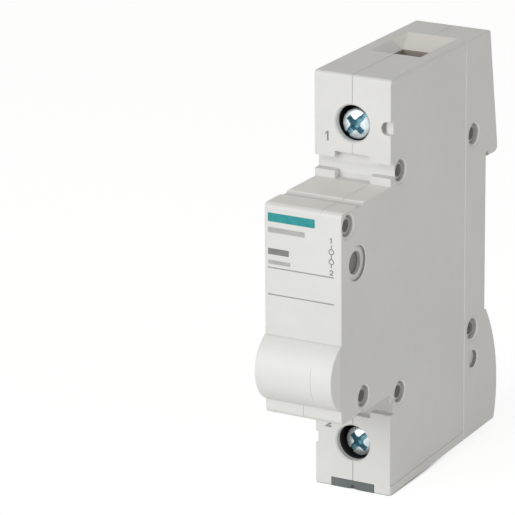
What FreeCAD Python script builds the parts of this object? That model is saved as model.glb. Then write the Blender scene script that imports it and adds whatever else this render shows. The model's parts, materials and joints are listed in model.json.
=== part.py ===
import FreeCAD, Part
import Sketcher
import os
import re
from FreeCAD import Vector

# Through-terminal pole for a 35 mm rail, one module wide.
# Millimetres. X is the width, -Y the front, +Z up. The origin is the middle of the rail's
# front plane: the rail's edges lie at z = +17.5 and -17.5, and the rail at y > 0.

SIZES = {
    # outline of the housing, seen from the side
    "module_width": 17.9,
    "body_height": 90.0,
    "front_drop": 0.9,
    "terminal_depth": 43.0,
    "nose_reach": 21.0,
    "nose_height": 45.0,
    "top_rear_depth": 2.0,
    "hook_depth": 6.0,
    "bottom_rear_depth": 4.6,
    "bottom_rise": 1.8,
    "rear_belly_depth": 5.85,
    "tail_lip_depth": 0.5,
    "tail_lip_rise": 0.7,
    "corner_round": 0.8,
    "nose_round": 1.1,
    "edge_round": 0.45,
    # rail seat
    "rail_height": 35.0,
    "rail_play": 0.2,
    "rail_slot": 1.3,
    "hook_overlap": 1.1,
    "hook_round": 1.4,
    "step_depth": 0.8,
    # bulge where a switch of this family has its handle
    "bulge_radius": 7.7,
    "bulge_behind_face": 3.1,
    "bulge_up": 10.1,
    # notch across the nose, and grooves between the nose and the terminal blocks
    "notch_in": 6.4,
    "notch_length": 3.4,
    "notch_run": 0.8,
    "notch_depth": 0.5,
    "groove_depth": 1.8,
    "groove_low_in": 10.5,
    "groove_high_in": 7.6,
    "groove_mid_in": 6.3,
    "groove_mid_half": 4.1,
    # shells
    "side_wall": 1.6,
    "wall": 1.8,
    "nose_seam": 4.1,
    "seam_bevel": 0.14,
    "panel_step": 0.15,
    "panel_line": 9.3,
    "panel_top_border": 1.1,
    "panel_bottom_border": 2.1,
    # rivets, their sinks and bosses
    "boss_radius": 2.9,
    "sink_radius": 2.3,
    "sink_depth": 1.45,
    "sink_bevel": 0.3,
    "rivet_radius": 1.8,
    "rivet_bore": 1.35,
    "rivet_bore_depth": 1.7,
    "rivet_head_radius": 2.2,
    "rivet_head": 0.6,
    "rivet_play": 0.05,
    "block_rivet_in": 4.5,
    "top_rivet_inside": 9.9,
    "bottom_rivet_inside": 11.5,
    "rear_rivet_in": 5.55,
    "hook_rivet_above": 5.5,
    "latch_rivet_below": 2.5,
    "nose_rivet_in": 3.0,
    "nose_rivet_under": 3.3,
    "lip_rivet_in": 9.7,
    "lip_rivet_over": 3.4,
    # blind coupling recess and small pin recess on the sides
    "coupling_radius": 3.7,
    "coupling_depth": 0.75,
    "coupling_hole": 2.45,
    "coupling_hole_depth": 1.6,
    "coupling_backing": 0.9,
    "coupling_in": 6.8,
    "coupling_under": 12.2,
    "pin_hole_radius": 1.95,
    "pin_hole_depth": 1.0,
    "pin_hole_in": 5.1,
    "pin_hole_below": 9.5,
    "recess_bevel": 0.2,
    # terminals
    "terminal_inset": 10.3,
    "clamp_drop": 0.5,
    "screw_hole_radius": 3.9,
    "screw_hole_bevel": 0.3,
    "screw_hole_rim": 1.5,
    "guide_bore": 4.3,
    "guide_wall": 1.1,
    "guide_depth": 9.5,
    "slot_height": 2.8,
    "slot_depth": 1.2,
    "slot_width_right": 2.3,
    "slot_width_left": 1.3,
    "slot_bend": 1.0,
    "entry_half": 5.9,
    "entry_slope": 1.7,
    "funnel_rear": 7.4,
    "funnel_front": 0.5,
    "throat_half": 3.2,
    "throat_depth": 9.1,
    "throat_past_bar": 0.2,
    "throat_wall": 1.2,
    # screws
    "screw_head_radius": 3.2,
    "screw_head": 2.8,
    "head_dome": 0.5,
    "head_edge": 0.25,
    "head_turn": 42.0,
    "screw_radius": 2.9,
    "screw_length": 14.1,
    "screw_end_cone": 0.6,
    "screw_recess": 1.7,
    "screw_travel": 7.0,
    "lower_screw_in": 1.4,
    "screw_play": 0.05,
    "slot_cut": 1.0,
    "slot_cut_depth": 0.8,
    "cross_span": 4.6,
    "cross_cut": 1.3,
    "cross_depth": 1.9,
    "cross_foot": 0.75,
    "dog_radius": 2.0,
    "dog_length": 0.7,
    "dog_shoulder": 0.3,
    # clamp cages, plates and bars
    "cage_half": 5.6,
    "cage_strip": 1.2,
    "cage_height": 9.8,
    "cage_front_wall": 3.0,
    "cage_rear_wall": 1.5,
    "cage_round": 1.0,
    "plate_gap": 0.3,
    "plate_half": 4.1,
    "plate_thick": 1.6,
    "plate_height": 8.4,
    "plate_bevel": 0.4,
    "wire_left": 3.6,
    "bar_half": 4.0,
    "bar_thick": 2.0,
    "bar_past_screw": 4.4,
    "bar_reach": 17.7,
    "bar_rivet_in": 13.7,
    "bar_tooth": 0.5,
    "bar_tooth_half": 0.4,
    "bar_tooth_pitch": 2.4,
    "through_short": 9.7,
    "bar_rivet_radius": 1.5,
    "bar_rivet_head": 2.6,
    "bar_rivet_crown": 1.1,
    "fit_play": 0.1,
    # ribs
    "rib": 1.4,
    "saddle_height": 9.0,
    # rail latch
    "latch_half": 5.0,
    "latch_play": 0.1,
    "latch_front_y": 1.5,
    "latch_thick": 2.4,
    "latch_overlap": 1.1,
    "latch_bevel": 1.5,
    "latch_travel": 3.5,
    "arm_thick": 1.75,
    "arm_gap": 0.15,
    "ear_half": 6.3,
    "ear_height": 4.0,
    "ear_gap": 0.5,
    "window_half": 3.6,
    "window_play": 0.4,
    "pry_notch": 0.9,
    # latch spring
    "spring_rise": 4.6,
    "seat_rib": 1.5,
    "seat_bite": 0.2,
    "spring_length": 5.5,
    "spring_radius": 1.45,
    "spring_wire": 0.45,
    "spring_turns": 5.0,
    "spring_room": 0.3,
    # how far a cut runs past the face that it opens
    "cut_past": 1.0,
}

# Places worked out from the sizes. Depths in front of the rail are negative Y.
HALF = "(module_width / 2)"
MID = "(-front_drop)"
TOP = "(body_height / 2 - front_drop)"
BOTTOM = "(-body_height / 2 - front_drop)"
BOTTOM_REAR = f"({BOTTOM} + bottom_rise)"
BOTTOM_SLOPE = "(bottom_rise / (bottom_rear_depth + terminal_depth))"
FACE = "(-terminal_depth)"
NOSE = "(-terminal_depth - nose_reach)"
NOSE_TOP = f"({MID} + nose_height / 2)"
NOSE_BOTTOM = f"({MID} - nose_height / 2)"
RAIL_TOP = "(rail_height / 2 + rail_play)"
RAIL_BOTTOM = "(-rail_height / 2 - rail_play)"
BULGE_Y = f"({NOSE} + bulge_behind_face)"
BULGE_Z = f"({NOSE_BOTTOM} + bulge_up)"
COUPLING_Y = f"({NOSE} + coupling_in)"
COUPLING_Z = f"({NOSE_TOP} - coupling_under)"
PIN_Z = f"({RAIL_BOTTOM} - pin_hole_below)"
INNER_X = "(module_width / 2 - side_wall)"
FLOOR_RISE = "(arm_thick + arm_gap + latch_play + rib)"
# heights over the housing's mid-height, the same above and below it
TERMINAL = "(body_height / 2 - terminal_inset)"
GROOVE_LOW = f"({TERMINAL} - groove_low_in)"
GROOVE_HIGH = f"({TERMINAL} - groove_high_in)"
GROOVE_MID = f"({TERMINAL} - groove_mid_in)"
# row of clamp, wire and bar behind the terminal face
PLATE_FRONT = f"({FACE} + screw_recess + screw_length)"
CAGE_FRONT = f"({PLATE_FRONT} - plate_gap - cage_front_wall)"
BAR_FRONT = f"({PLATE_FRONT} + plate_thick + screw_travel + wire_left)"
BAR_REAR = f"({BAR_FRONT} + bar_thick)"
CAGE_REAR = f"({BAR_REAR} + cage_rear_wall)"
THROAT_REAR = f"({BAR_FRONT} + throat_past_bar)"
THROAT_FRONT = f"({THROAT_REAR} - throat_depth)"
# latch, its ears and its spring, stacked on the bottom
LATCH_REAR = "(latch_front_y + latch_thick)"
SPRING_Y = "(latch_front_y + latch_thick / 2)"
SPRING_SEAT = f"({BOTTOM_REAR} + spring_rise)"
EAR_LOW = f"({SPRING_SEAT} + spring_length + latch_travel + ear_gap)"
EAR_TOP = f"({EAR_LOW} + ear_height)"
BEYOND = "(terminal_depth + nose_reach + bulge_radius)"

# Rivet places on the side of the housing: name, y, z.
RIVETS = [
    ("rivet_block_top", f"({FACE} + block_rivet_in)", f"({MID} + {TERMINAL} - top_rivet_inside)"),
    ("rivet_rear_top", "-rear_rivet_in", f"({RAIL_TOP} + hook_rivet_above)"),
    ("rivet_nose_top", f"({NOSE} + nose_rivet_in)", f"({NOSE_TOP} - nose_rivet_under)"),
    ("rivet_nose_bottom", f"({NOSE} + lip_rivet_in)", f"({NOSE_BOTTOM} + lip_rivet_over)"),
    ("rivet_block_bottom", f"({FACE} + block_rivet_in)", f"({MID} - {TERMINAL} + bottom_rivet_inside)"),
    ("rivet_rear_bottom", "-rear_rivet_in", f"({RAIL_BOTTOM} - latch_rivet_below)"),
]

doc = FreeCAD.newDocument("through_terminal_pole")
sheet = doc.addObject("Spreadsheet::Sheet", "Sizes")
for row, (size_name, size) in enumerate(SIZES.items(), start=1):
    sheet.set(f"A{row}", size_name)
    sheet.set(f"B{row}", str(size))
    sheet.setAlias(f"B{row}", size_name)
doc.recompute()

SIZE_WORD = re.compile(r"[a-z][a-z_]*")


def bound(formula):
    """The formula as the document's expressions spell it."""
    return SIZE_WORD.sub(lambda word: "Sizes." + word.group(), str(formula))


def number(formula):
    """The formula's value with the sheet's present sizes."""
    result = sheet.evalExpression(bound(formula))
    return float(getattr(result, "Value", result))


def mirrored(formula):
    """A height as far below the housing's mid-height as the given one is above it."""
    return f"(2 * {MID} - ({formula}))"


def hole_height(sign):
    """Height of a screw hole's middle: the upper one's for 1, the lower one's for -1."""
    return f"({MID} + {sign} * {TERMINAL})"


def clamp_height(sign):
    """Height of a clamp and its screw, which hang a little low in the screw hole."""
    return f"({hole_height(sign)} - clamp_drop)"


class Piece:
    """A PartDesign body with short names for the operations this part uses."""

    def __init__(self, name):
        self.body = doc.addObject("PartDesign::Body", name)
        self.body.Label = name
        self.count = 0
        self.pockets = []

    def plane(self, role):
        return next(item for item in self.body.Origin.OriginFeatures if item.Role == role)

    def sketch(self, role, offset):
        self.count += 1
        made = self.body.newObject("Sketcher::SketchObject", f"{self.body.Name}_sketch_{self.count}")
        made.AttachmentSupport = [(self.plane(role), "")]
        made.MapMode = "FlatFace"
        made.setExpression("AttachmentOffset.Base.z", bound(offset))
        made.AttachmentOffset.Base.z = number(offset)
        return made

    def outline(self, made, points):
        """A closed outline. A point is (u, v); ("via", u, v) between two points bends the edge."""
        corners = [point for point in points if point[0] != "via"]
        spots = [Vector(number(u), number(v), 0) for u, v in corners]
        edges = []
        vias = []
        # the end of each edge that its own corner is: 1 for its start, 2 for its finish
        heads = {}
        for index, point in enumerate(points):
            if point[0] == "via":
                continue
            start = spots[len(edges)]
            end = spots[(len(edges) + 1) % len(spots)]
            after = points[(index + 1) % len(points)]
            if after[0] != "via":
                edge = made.addGeometry(Part.LineSegment(start, end))
                heads[edge] = 1
            else:
                middle = Vector(number(after[1]), number(after[2]), 0)
                # an arc runs counter-clockwise, so one that turns the other way starts at its end
                clockwise = (middle - start).cross(end - middle).z < 0
                ends = (end, middle, start) if clockwise else (start, middle, end)
                edge = made.addGeometry(Part.Arc(*ends))
                heads[edge] = 2 if clockwise else 1
                vias.append((edge, after))
            edges.append(edge)
        for place, edge in enumerate(edges):
            before = edges[place - 1]
            made.addConstraint(Sketcher.Constraint("Coincident", before, 3 - heads[before], edge, heads[edge]))
        for place, edge in enumerate(edges):
            u, v = corners[place]
            self.tie(made, "DistanceX", edge, heads[edge], u)
            self.tie(made, "DistanceY", edge, heads[edge], v)
        for edge, (_, u, v) in vias:
            middle = made.addGeometry(Part.Point(Vector(number(u), number(v), 0)), True)
            made.addConstraint(Sketcher.Constraint("PointOnObject", middle, 1, edge))
            self.tie(made, "DistanceX", middle, 1, u)
            self.tie(made, "DistanceY", middle, 1, v)

    def circle(self, made, u, v, radius):
        centre = Vector(number(u), number(v), 0)
        ring = made.addGeometry(Part.Circle(centre, Vector(0, 0, 1), number(radius)))
        self.tie(made, "DistanceX", ring, 3, u)
        self.tie(made, "DistanceY", ring, 3, v)
        index = made.addConstraint(Sketcher.Constraint("Radius", ring, number(radius)))
        made.setExpression(f"Constraints[{index}]", bound(radius))

    def tie(self, made, kind, edge, end, formula):
        """Keeps one coordinate of a sketch point equal to the formula."""
        index = made.addConstraint(Sketcher.Constraint(kind, -1, 1, edge, end, number(formula)))
        made.setExpression(f"Constraints[{index}]", bound(formula))

    def drawn(self, role, offset, shapes):
        made = self.sketch(role, offset)
        for shape in shapes:
            if shape[0] == "circle":
                self.circle(made, *shape[1:])
            else:
                self.outline(made, shape)
        return made

    def extrude(self, kind, role, shapes, low, high):
        """Adds or cuts the shapes between two places on the axis across their plane."""
        # the XZ plane's own normal points to -Y
        start = f"-({high})" if role == "XZ_Plane" else low
        made = self.drawn(role, start, shapes)
        feature = self.body.newObject(f"PartDesign::{kind}", f"{self.body.Name}_{kind}_{self.count}")
        feature.Profile = made
        feature.Refine = False
        feature.Length = number(f"({high}) - ({low})")
        feature.setExpression("Length", bound(f"({high}) - ({low})"))
        feature.Reversed = kind == "Pocket"
        return feature

    def add(self, role, shapes, low, high):
        return self.extrude("Pad", role, shapes, low, high)

    def cut(self, role, shapes, low, high):
        feature = self.extrude("Pocket", role, shapes, low, high)
        self.pockets.append(feature)
        return feature

    def funnel(self, role, mouth, mouth_at, foot, foot_at):
        """Cuts a hole with flat sloping sides between two outlines on parallel planes."""
        feature = self.body.newObject("PartDesign::SubtractiveLoft", f"{self.body.Name}_funnel_{self.count}")
        feature.Profile = self.drawn(role, mouth_at, [mouth])
        feature.Sections = [self.drawn(role, foot_at, [foot])]
        feature.Ruled = True
        return feature

    def turn(self, role, shape, axis):
        """Revolves a half section about an axis of its own sketch."""
        made = self.drawn(role, "0", [shape])
        feature = self.body.newObject("PartDesign::Revolution", f"{self.body.Name}_turned_{self.count}")
        feature.Profile = made
        feature.ReferenceAxis = (made, [axis])
        feature.Angle = 360
        return feature

    def edges_where(self, test):
        """Names of the present solid's edges that pass the test."""
        doc.recompute()
        edges = self.body.Shape.Edges
        return [f"Edge{place}" for place, edge in enumerate(edges, start=1) if test(edge)]

    def soften(self, kind, size, names):
        """A fillet or chamfer on the named edges of the present solid."""
        if not names:
            raise RuntimeError(f"{self.body.Name}: no edge to {kind}")
        solid = self.body.Tip
        feature = self.body.newObject(f"PartDesign::{kind}", f"{self.body.Name}_{kind}_{self.count}")
        self.count += 1
        feature.Base = (solid, names)
        property_name = "Radius" if kind == "Fillet" else "Size"
        setattr(feature, property_name, number(size))
        feature.setExpression(property_name, bound(size))
        return feature

    def place(self, x="0", y="0", z="0"):
        for letter, formula in (("x", x), ("y", y), ("z", z)):
            self.body.setExpression(f"Placement.Base.{letter}", bound(formula))


def box(u_low, v_low, u_high, v_high):
    return [(u_low, v_low), (u_high, v_low), (u_high, v_high), (u_low, v_high)]


def near(value, formula_value):
    return abs(value - formula_value) < 0.01


def along_x(y, z):
    """Test for an edge parallel to X that passes the given place."""
    y_value = number(y)
    z_value = number(z)

    def passes(edge):
        here = all(near(vertex.Y, y_value) and near(vertex.Z, z_value) for vertex in edge.Vertexes)
        return here and len(edge.Vertexes) == 2 and edge.Length > 0.5
    return passes


def round_about(radius, axis, u, v):
    """Test for an arc of the given radius whose middle is on a line along the axis letter."""
    radius_value = number(radius)
    u_value = number(u)
    v_value = number(v)

    def passes(edge):
        try:
            curve = edge.Curve
        except TypeError:
            # a curve of no named kind, such as the seam of two rounds
            return False
        if not isinstance(curve, Part.Circle) or not near(curve.Radius, radius_value):
            return False
        centre = curve.Center
        spot = (centre.y, centre.z) if axis == "X" else (centre.x, centre.z)
        return near(spot[0], u_value) and near(spot[1], v_value)
    return passes


def on_side(side, place):
    """Test for an edge in a plane across X."""
    x_value = number(place)
    return lambda edge: all(near(side * vertex.X, x_value) for vertex in edge.Vertexes)


def span(side, parting):
    """X range of a shell: from the parting plane to its side face."""
    return (parting, HALF) if side > 0 else (f"-{HALF}", parting)


def inner_span(side, parting):
    """X range of a shell's hollow, inside its side wall."""
    return (parting, INNER_X) if side > 0 else (f"-{INNER_X}", parting)


def body_outline():
    """Side view of the part behind the terminal faces."""
    slot_top = RAIL_TOP
    hook_low = f"({RAIL_TOP} - hook_overlap)"
    return [
        (FACE, TOP),
        (FACE, BOTTOM),
        ("bottom_rear_depth", BOTTOM_REAR),
        ("bottom_rear_depth + tail_lip_depth", f"{BOTTOM_REAR} + tail_lip_rise"),
        ("via", "rear_belly_depth", f"({RAIL_BOTTOM} + {BOTTOM_REAR}) / 2"),
        ("step_depth", RAIL_BOTTOM),
        ("0", RAIL_BOTTOM),
        ("0", slot_top),
        ("rail_slot", slot_top),
        ("rail_slot", hook_low),
        ("hook_depth", hook_low),
        ("top_rear_depth", TOP),
    ]


def notch_outline(sign):
    """Side view of the shallow notch across the nose's top or bottom."""
    edge = f"({MID} + {sign} * nose_height / 2)"
    floor = f"({edge} - {sign} * notch_depth)"
    front = f"({NOSE} + notch_in)"
    rear = f"({front} + notch_length)"
    return [
        (front, f"{edge} + {sign} * cut_past"),
        (front, floor),
        (f"{rear} - notch_run", floor),
        (rear, edge),
        (rear, f"{edge} + {sign} * cut_past"),
    ]


def hollow_outline():
    """The main hollow behind the terminal faces, open to the nose."""
    front = f"({FACE} + wall)"
    behind_groove = f"({FACE} + groove_depth + wall)"
    shoulder = f"({MID} + {GROOVE_MID} + wall)"
    tongue = f"({NOSE_TOP} - wall)"
    floor_front = f"({BOTTOM} + {FLOOR_RISE})"
    floor_rear = f"({BOTTOM_REAR} + {FLOOR_RISE})"
    return [
        (front, f"{TOP} - wall"),
        (front, shoulder),
        (behind_groove, shoulder),
        (behind_groove, tongue),
        (FACE, tongue),
        (FACE, mirrored(tongue)),
        (behind_groove, mirrored(tongue)),
        (behind_groove, mirrored(shoulder)),
        (front, mirrored(shoulder)),
        (front, floor_front),
        ("-wall", floor_rear),
        ("-wall", f"{TOP} - wall"),
    ]


def make_shell(name, side):
    shell = Piece(name)
    nose_parting = "nose_seam"
    # outside
    shell.add("YZ_Plane", [body_outline()], *span(side, "0"))
    shell.add("YZ_Plane", [box(NOSE, NOSE_BOTTOM, FACE, NOSE_TOP)], *span(side, nose_parting))
    rounds = [
        ("corner_round", [(FACE, TOP)]),
        ("edge_round", [(FACE, BOTTOM), ("top_rear_depth", TOP)]),
        ("nose_round", [(NOSE, NOSE_TOP), (NOSE, NOSE_BOTTOM)]),
        ("hook_round", [("hook_depth", f"{RAIL_TOP} - hook_overlap")]),
    ]
    for radius, places in rounds:
        names = [name for y, z in places for name in shell.edges_where(along_x(y, z))]
        shell.soften("Fillet", radius, names)
    bulge = ("circle", BULGE_Y, BULGE_Z, "bulge_radius")
    shell.add("YZ_Plane", [bulge], *span(side, nose_parting))
    round_side_edges(shell, side)
    shell.cut("YZ_Plane", [notch_outline(1), notch_outline(-1)], *span(side, nose_parting))
    # hollow
    shell.cut("YZ_Plane", [hollow_outline()], *inner_span(side, "0"))
    chamber = box(f"{NOSE} + wall", f"{NOSE_BOTTOM} + wall", FACE, f"{NOSE_TOP} - wall")
    shell.cut("YZ_Plane", [chamber], *inner_span(side, nose_parting))
    bulge_room = ("circle", BULGE_Y, BULGE_Z, "bulge_radius - wall")
    shell.cut("YZ_Plane", [bulge_room], *inner_span(side, nose_parting))
    add_bosses(shell, side)
    add_terminal_guides(shell, side)
    add_saddles(shell, side)
    part_shell(shell, side)
    cut_grooves(shell, side)
    cut_terminals(shell, side)
    cut_latch_room(shell, side)
    cut_side_marks(shell, side)
    cut_seams(shell, side)
    return shell


def round_side_edges(shell, side):
    """Softens the edges between the side and the front faces, top, nose and bulge."""
    in_side = on_side(side, HALF)
    rear = number("-step_depth")
    names = shell.edges_where(
        lambda edge: in_side(edge) and all(vertex.Y < rear for vertex in edge.Vertexes))
    shell.soften("Fillet", "edge_round", names)


def add_bosses(shell, side):
    """Round posts that the rivets pass through, and the backing of the coupling recess."""
    rings = [("circle", y, z, "boss_radius") for _, y, z in RIVETS]
    low, high = ("0", INNER_X) if side > 0 else (f"-{INNER_X}", "nose_seam")
    shell.add("YZ_Plane", rings, low, high)
    backing = ("circle", COUPLING_Y, COUPLING_Z, "coupling_hole + coupling_backing")
    depth = f"({INNER_X} - coupling_backing)"
    low, high = (depth, INNER_X) if side > 0 else (f"-{INNER_X}", f"-{depth}")
    shell.add("YZ_Plane", [backing], low, high)


def add_terminal_guides(shell, side):
    """Tubes behind the screw holes, wire guides, and the seats of the clamp cages."""
    def outward(inner_half):
        return (inner_half, INNER_X) if side > 0 else (f"-{INNER_X}", f"-({inner_half})")

    tubes = []
    shelves = []
    backings = []
    for sign in (1, -1):
        tubes.append(("circle", "0", hole_height(sign), "guide_bore + guide_wall"))
        centre = clamp_height(sign)
        x_low, x_high = outward("cage_half - cage_strip")
        for far in (1, -1):
            inner = f"({centre} + {far} * (cage_height / 2 + fit_play))"
            shelves.append(box(x_low, inner, x_high, f"{inner} + {far} * rib"))
        x_low, x_high = outward("bar_half")
        backings.append(box(x_low, f"{centre} - cage_height / 3", x_high, f"{centre} + cage_height / 3"))
    shell.add("XZ_Plane", tubes, f"{FACE} + wall / 2", f"{FACE} + guide_depth")
    shell.add("XZ_Plane", shelves, CAGE_FRONT, f"{CAGE_FRONT} + 2 * cage_front_wall")
    shell.add("XZ_Plane", backings, f"{CAGE_REAR} + fit_play", f"{CAGE_REAR} + fit_play + rib")
    sheath = box("-throat_half - throat_wall", f"{THROAT_FRONT} - throat_wall",
                 "throat_half + throat_wall", f"{THROAT_REAR} + throat_wall")
    over_cage = f"({clamp_height(1)} + cage_height / 2 + fit_play)"
    shell.add("XY_Plane", [sheath], over_cage, f"{TOP} - wall / 2")


def add_saddles(shell, side):
    """Forked ribs that hold the through bar by its edges."""
    front = BAR_REAR
    rear = f"({BAR_REAR} + bar_thick)"
    reach = "(bar_half - rib)"
    flip = "" if side > 0 else "-"
    fork = [
        (f"{flip}{INNER_X}", f"{front} - fit_play - rib"),
        (f"{flip}{reach}", f"{front} - fit_play - rib"),
        (f"{flip}{reach}", f"{front} - fit_play"),
        (f"{flip}(bar_half + fit_play)", f"{front} - fit_play"),
        (f"{flip}(bar_half + fit_play)", f"{rear} + fit_play"),
        (f"{flip}{reach}", f"{rear} + fit_play"),
        (f"{flip}{reach}", f"{rear} + fit_play + rib"),
        (f"{flip}{INNER_X}", f"{rear} + fit_play + rib"),
    ]
    for sign in (1, -1):
        height = f"({MID} + {sign} * saddle_height)"
        shell.add("XY_Plane", [fork], f"{height} - rib / 2", f"{height} + rib / 2")


def part_shell(shell, side):
    """Cuts off what reaches past the stepped parting plane."""
    tall = "body_height"
    if side < 0:
        shell.cut("YZ_Plane", [box(FACE, f"-{tall}", BEYOND, tall)], "0", BEYOND)
    else:
        shell.cut("YZ_Plane", [box(f"-{BEYOND}", f"-{tall}", FACE, tall)], f"-{BEYOND}", "nose_seam")
        shell.cut("YZ_Plane", [box(FACE, f"-{tall}", BEYOND, tall)], f"-{BEYOND}", "0")


def cut_grooves(shell, side):
    """Cross grooves between the terminal blocks and the nose, taller in the middle."""
    floor = f"({FACE} + groove_depth)"
    middle = ("0", "groove_mid_half") if side > 0 else ("-groove_mid_half", "0")
    bands = [
        (GROOVE_LOW, GROOVE_HIGH, span(side, "0")),
        ("nose_height / 2", GROOVE_MID, middle),
    ]
    for low, high, reach in bands:
        pair = [box(FACE, f"{MID} + {sign} * {low}", floor, f"{MID} + {sign} * {high}")
                for sign in (1, -1)]
        shell.cut("YZ_Plane", pair, *reach)


def cut_terminals(shell, side):
    """Screw holes, wire entries and the small side slots of both terminals."""
    flip = "" if side > 0 else "-"
    for radius, depth in (("screw_hole_radius", "screw_hole_rim"), ("guide_bore", "guide_depth")):
        start = FACE if radius == "screw_hole_radius" else f"{FACE} + screw_hole_rim"
        holes = [("circle", "0", hole_height(sign), radius) for sign in (1, -1)]
        shell.cut("XZ_Plane", holes, start, f"{FACE} + {depth}")
    face = number(FACE)
    rims = []
    for sign in (1, -1):
        about = round_about("screw_hole_radius", "Y", "0", hole_height(sign))
        rims += shell.edges_where(lambda edge: about(edge) and near(edge.Vertexes[0].Y, face))
    shell.soften("Chamfer", "screw_hole_bevel", rims)
    throat = box("-throat_half", THROAT_FRONT, "throat_half", THROAT_REAR)
    shell.cut("XY_Plane", [throat], f"{clamp_height(1)} + cage_height / 2", TOP)
    shell.cut("XY_Plane", [throat], BOTTOM, f"{clamp_height(-1)} - cage_height / 2")
    # sloped funnel that leads a wire into the upper throat
    rim = box("-entry_half", f"{THROAT_FRONT} - funnel_front", "entry_half", f"{THROAT_REAR} + funnel_rear")
    shell.funnel("XY_Plane", rim, TOP, throat, f"{TOP} - entry_slope")
    # one slot only on each shell: upper block right, lower block left
    centre = hole_height(side)
    width = "slot_width_right" if side > 0 else "slot_width_left"
    edge = f"{flip}({HALF})"
    bend = f"{flip}({HALF} - {width} + slot_bend)"
    slot = [
        (edge, f"{centre} - slot_height / 2"),
        (bend, f"{centre} - slot_height / 2"),
        ("via", f"{flip}({HALF} - {width})", centre),
        (bend, f"{centre} + slot_height / 2"),
        (edge, f"{centre} + slot_height / 2"),
    ]
    shell.cut("XZ_Plane", [slot], FACE, f"{FACE} + slot_depth")


def cut_latch_room(shell, side):
    """Guide of the rail latch: behind the rail's lower edge and along the bottom."""
    def reach(half):
        return ("0", half) if side > 0 else (f"-({half})", "0")

    room_front = "(latch_front_y - latch_play)"
    room_rear = f"({LATCH_REAR} + latch_play)"
    roof = f"({BOTTOM} + arm_thick + arm_gap + latch_play)"
    below = f"({BOTTOM} - cut_past)"
    guide = [
        (room_front, RAIL_BOTTOM),
        (room_rear, RAIL_BOTTOM),
        (room_rear, below),
        (FACE, below),
        (FACE, roof),
        (room_front, f"{roof} + {BOTTOM_SLOPE} * ({room_front} + terminal_depth)"),
    ]
    shell.cut("YZ_Plane", [guide], *reach("latch_half + latch_play"))
    ear_room = box(room_front, f"{EAR_LOW} - latch_travel - latch_play", room_rear, f"{EAR_TOP} + latch_play / 2")
    shell.cut("YZ_Plane", [ear_room], *reach("ear_half + latch_play"))
    seat = box(f"{room_front} - seat_bite", f"{SPRING_SEAT} - seat_rib", f"{room_rear} + seat_bite", SPRING_SEAT)
    shell.add("YZ_Plane", [seat], *reach("spring_radius"))
    room = ("circle", "0", SPRING_Y, "spring_radius + spring_wire / 2 + spring_room")
    shell.cut("XY_Plane", [room], SPRING_SEAT, f"{SPRING_SEAT} + spring_length + spring_room")


def cut_side_marks(shell, side):
    """Recessed side panel, rivet sinks, coupling recess and pin recess."""
    def from_side(depth):
        if side > 0:
            return f"{HALF} - ({depth})", HALF
        return f"-{HALF}", f"-{HALF} + {depth}"

    border_front = f"{BOTTOM} + panel_bottom_border"
    panel = [
        ("-panel_line", f"{TOP} - panel_top_border"),
        (f"-{BEYOND}", f"{TOP} - panel_top_border"),
        (f"-{BEYOND}", border_front),
        (FACE, border_front),
        ("-panel_line", f"{border_front} + (terminal_depth - panel_line) * {BOTTOM_SLOPE}"),
    ]
    shell.cut("YZ_Plane", [panel], *from_side("panel_step"))
    sinks = [("circle", y, z, "sink_radius") for _, y, z in RIVETS]
    bores = [("circle", y, z, "rivet_radius + rivet_play") for _, y, z in RIVETS]
    shell.cut("YZ_Plane", sinks, *from_side("sink_depth"))
    shell.cut("YZ_Plane", bores, f"-{HALF}", HALF)
    coupling = ("circle", COUPLING_Y, COUPLING_Z, "coupling_radius")
    shell.cut("YZ_Plane", [coupling], *from_side("coupling_depth"))
    hole = ("circle", COUPLING_Y, COUPLING_Z, "coupling_hole")
    shell.cut("YZ_Plane", [hole], *from_side("coupling_hole_depth"))
    pin = ("circle", "-pin_hole_in", PIN_Z, "pin_hole_radius")
    shell.cut("YZ_Plane", [pin], *from_side("pin_hole_depth"))
    # the rims, in the panel or in the raised strip behind it
    outside = number(f"{HALF} - panel_step") - 0.01
    rims = {"sink_bevel": [], "recess_bevel": []}
    marks = [("sink_bevel", "sink_radius", y, z) for _, y, z in RIVETS]
    marks.append(("recess_bevel", "coupling_radius", COUPLING_Y, COUPLING_Z))
    marks.append(("recess_bevel", "pin_hole_radius", "-pin_hole_in", PIN_Z))
    for bevel, radius, y, z in marks:
        about = round_about(radius, "X", y, z)
        rims[bevel].append(lambda edge, about=about: about(edge) and side * edge.Vertexes[0].X > outside)
    for bevel, tests in rims.items():
        shell.soften("Chamfer", bevel, shell.edges_where(lambda edge: any(test(edge) for test in tests)))


def cut_seams(shell, side):
    """Small bevels that make a fine V line where the two shells meet."""
    inward = f"{side} * seam_bevel"
    faces = [("0", FACE), (inward, FACE), ("0", f"{FACE} + seam_bevel")]
    shell.cut("XY_Plane", [faces], BOTTOM, TOP)
    crest = [("0", TOP), (inward, TOP), ("0", f"{TOP} - seam_bevel")]
    shell.cut("XZ_Plane", [crest], FACE, "top_rear_depth")
    ridge = [
        ("nose_seam", NOSE_TOP),
        (f"nose_seam + {inward}", NOSE_TOP),
        ("nose_seam", f"{NOSE_TOP} - seam_bevel"),
    ]
    shell.cut("XZ_Plane", [ridge], NOSE, FACE)


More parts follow.
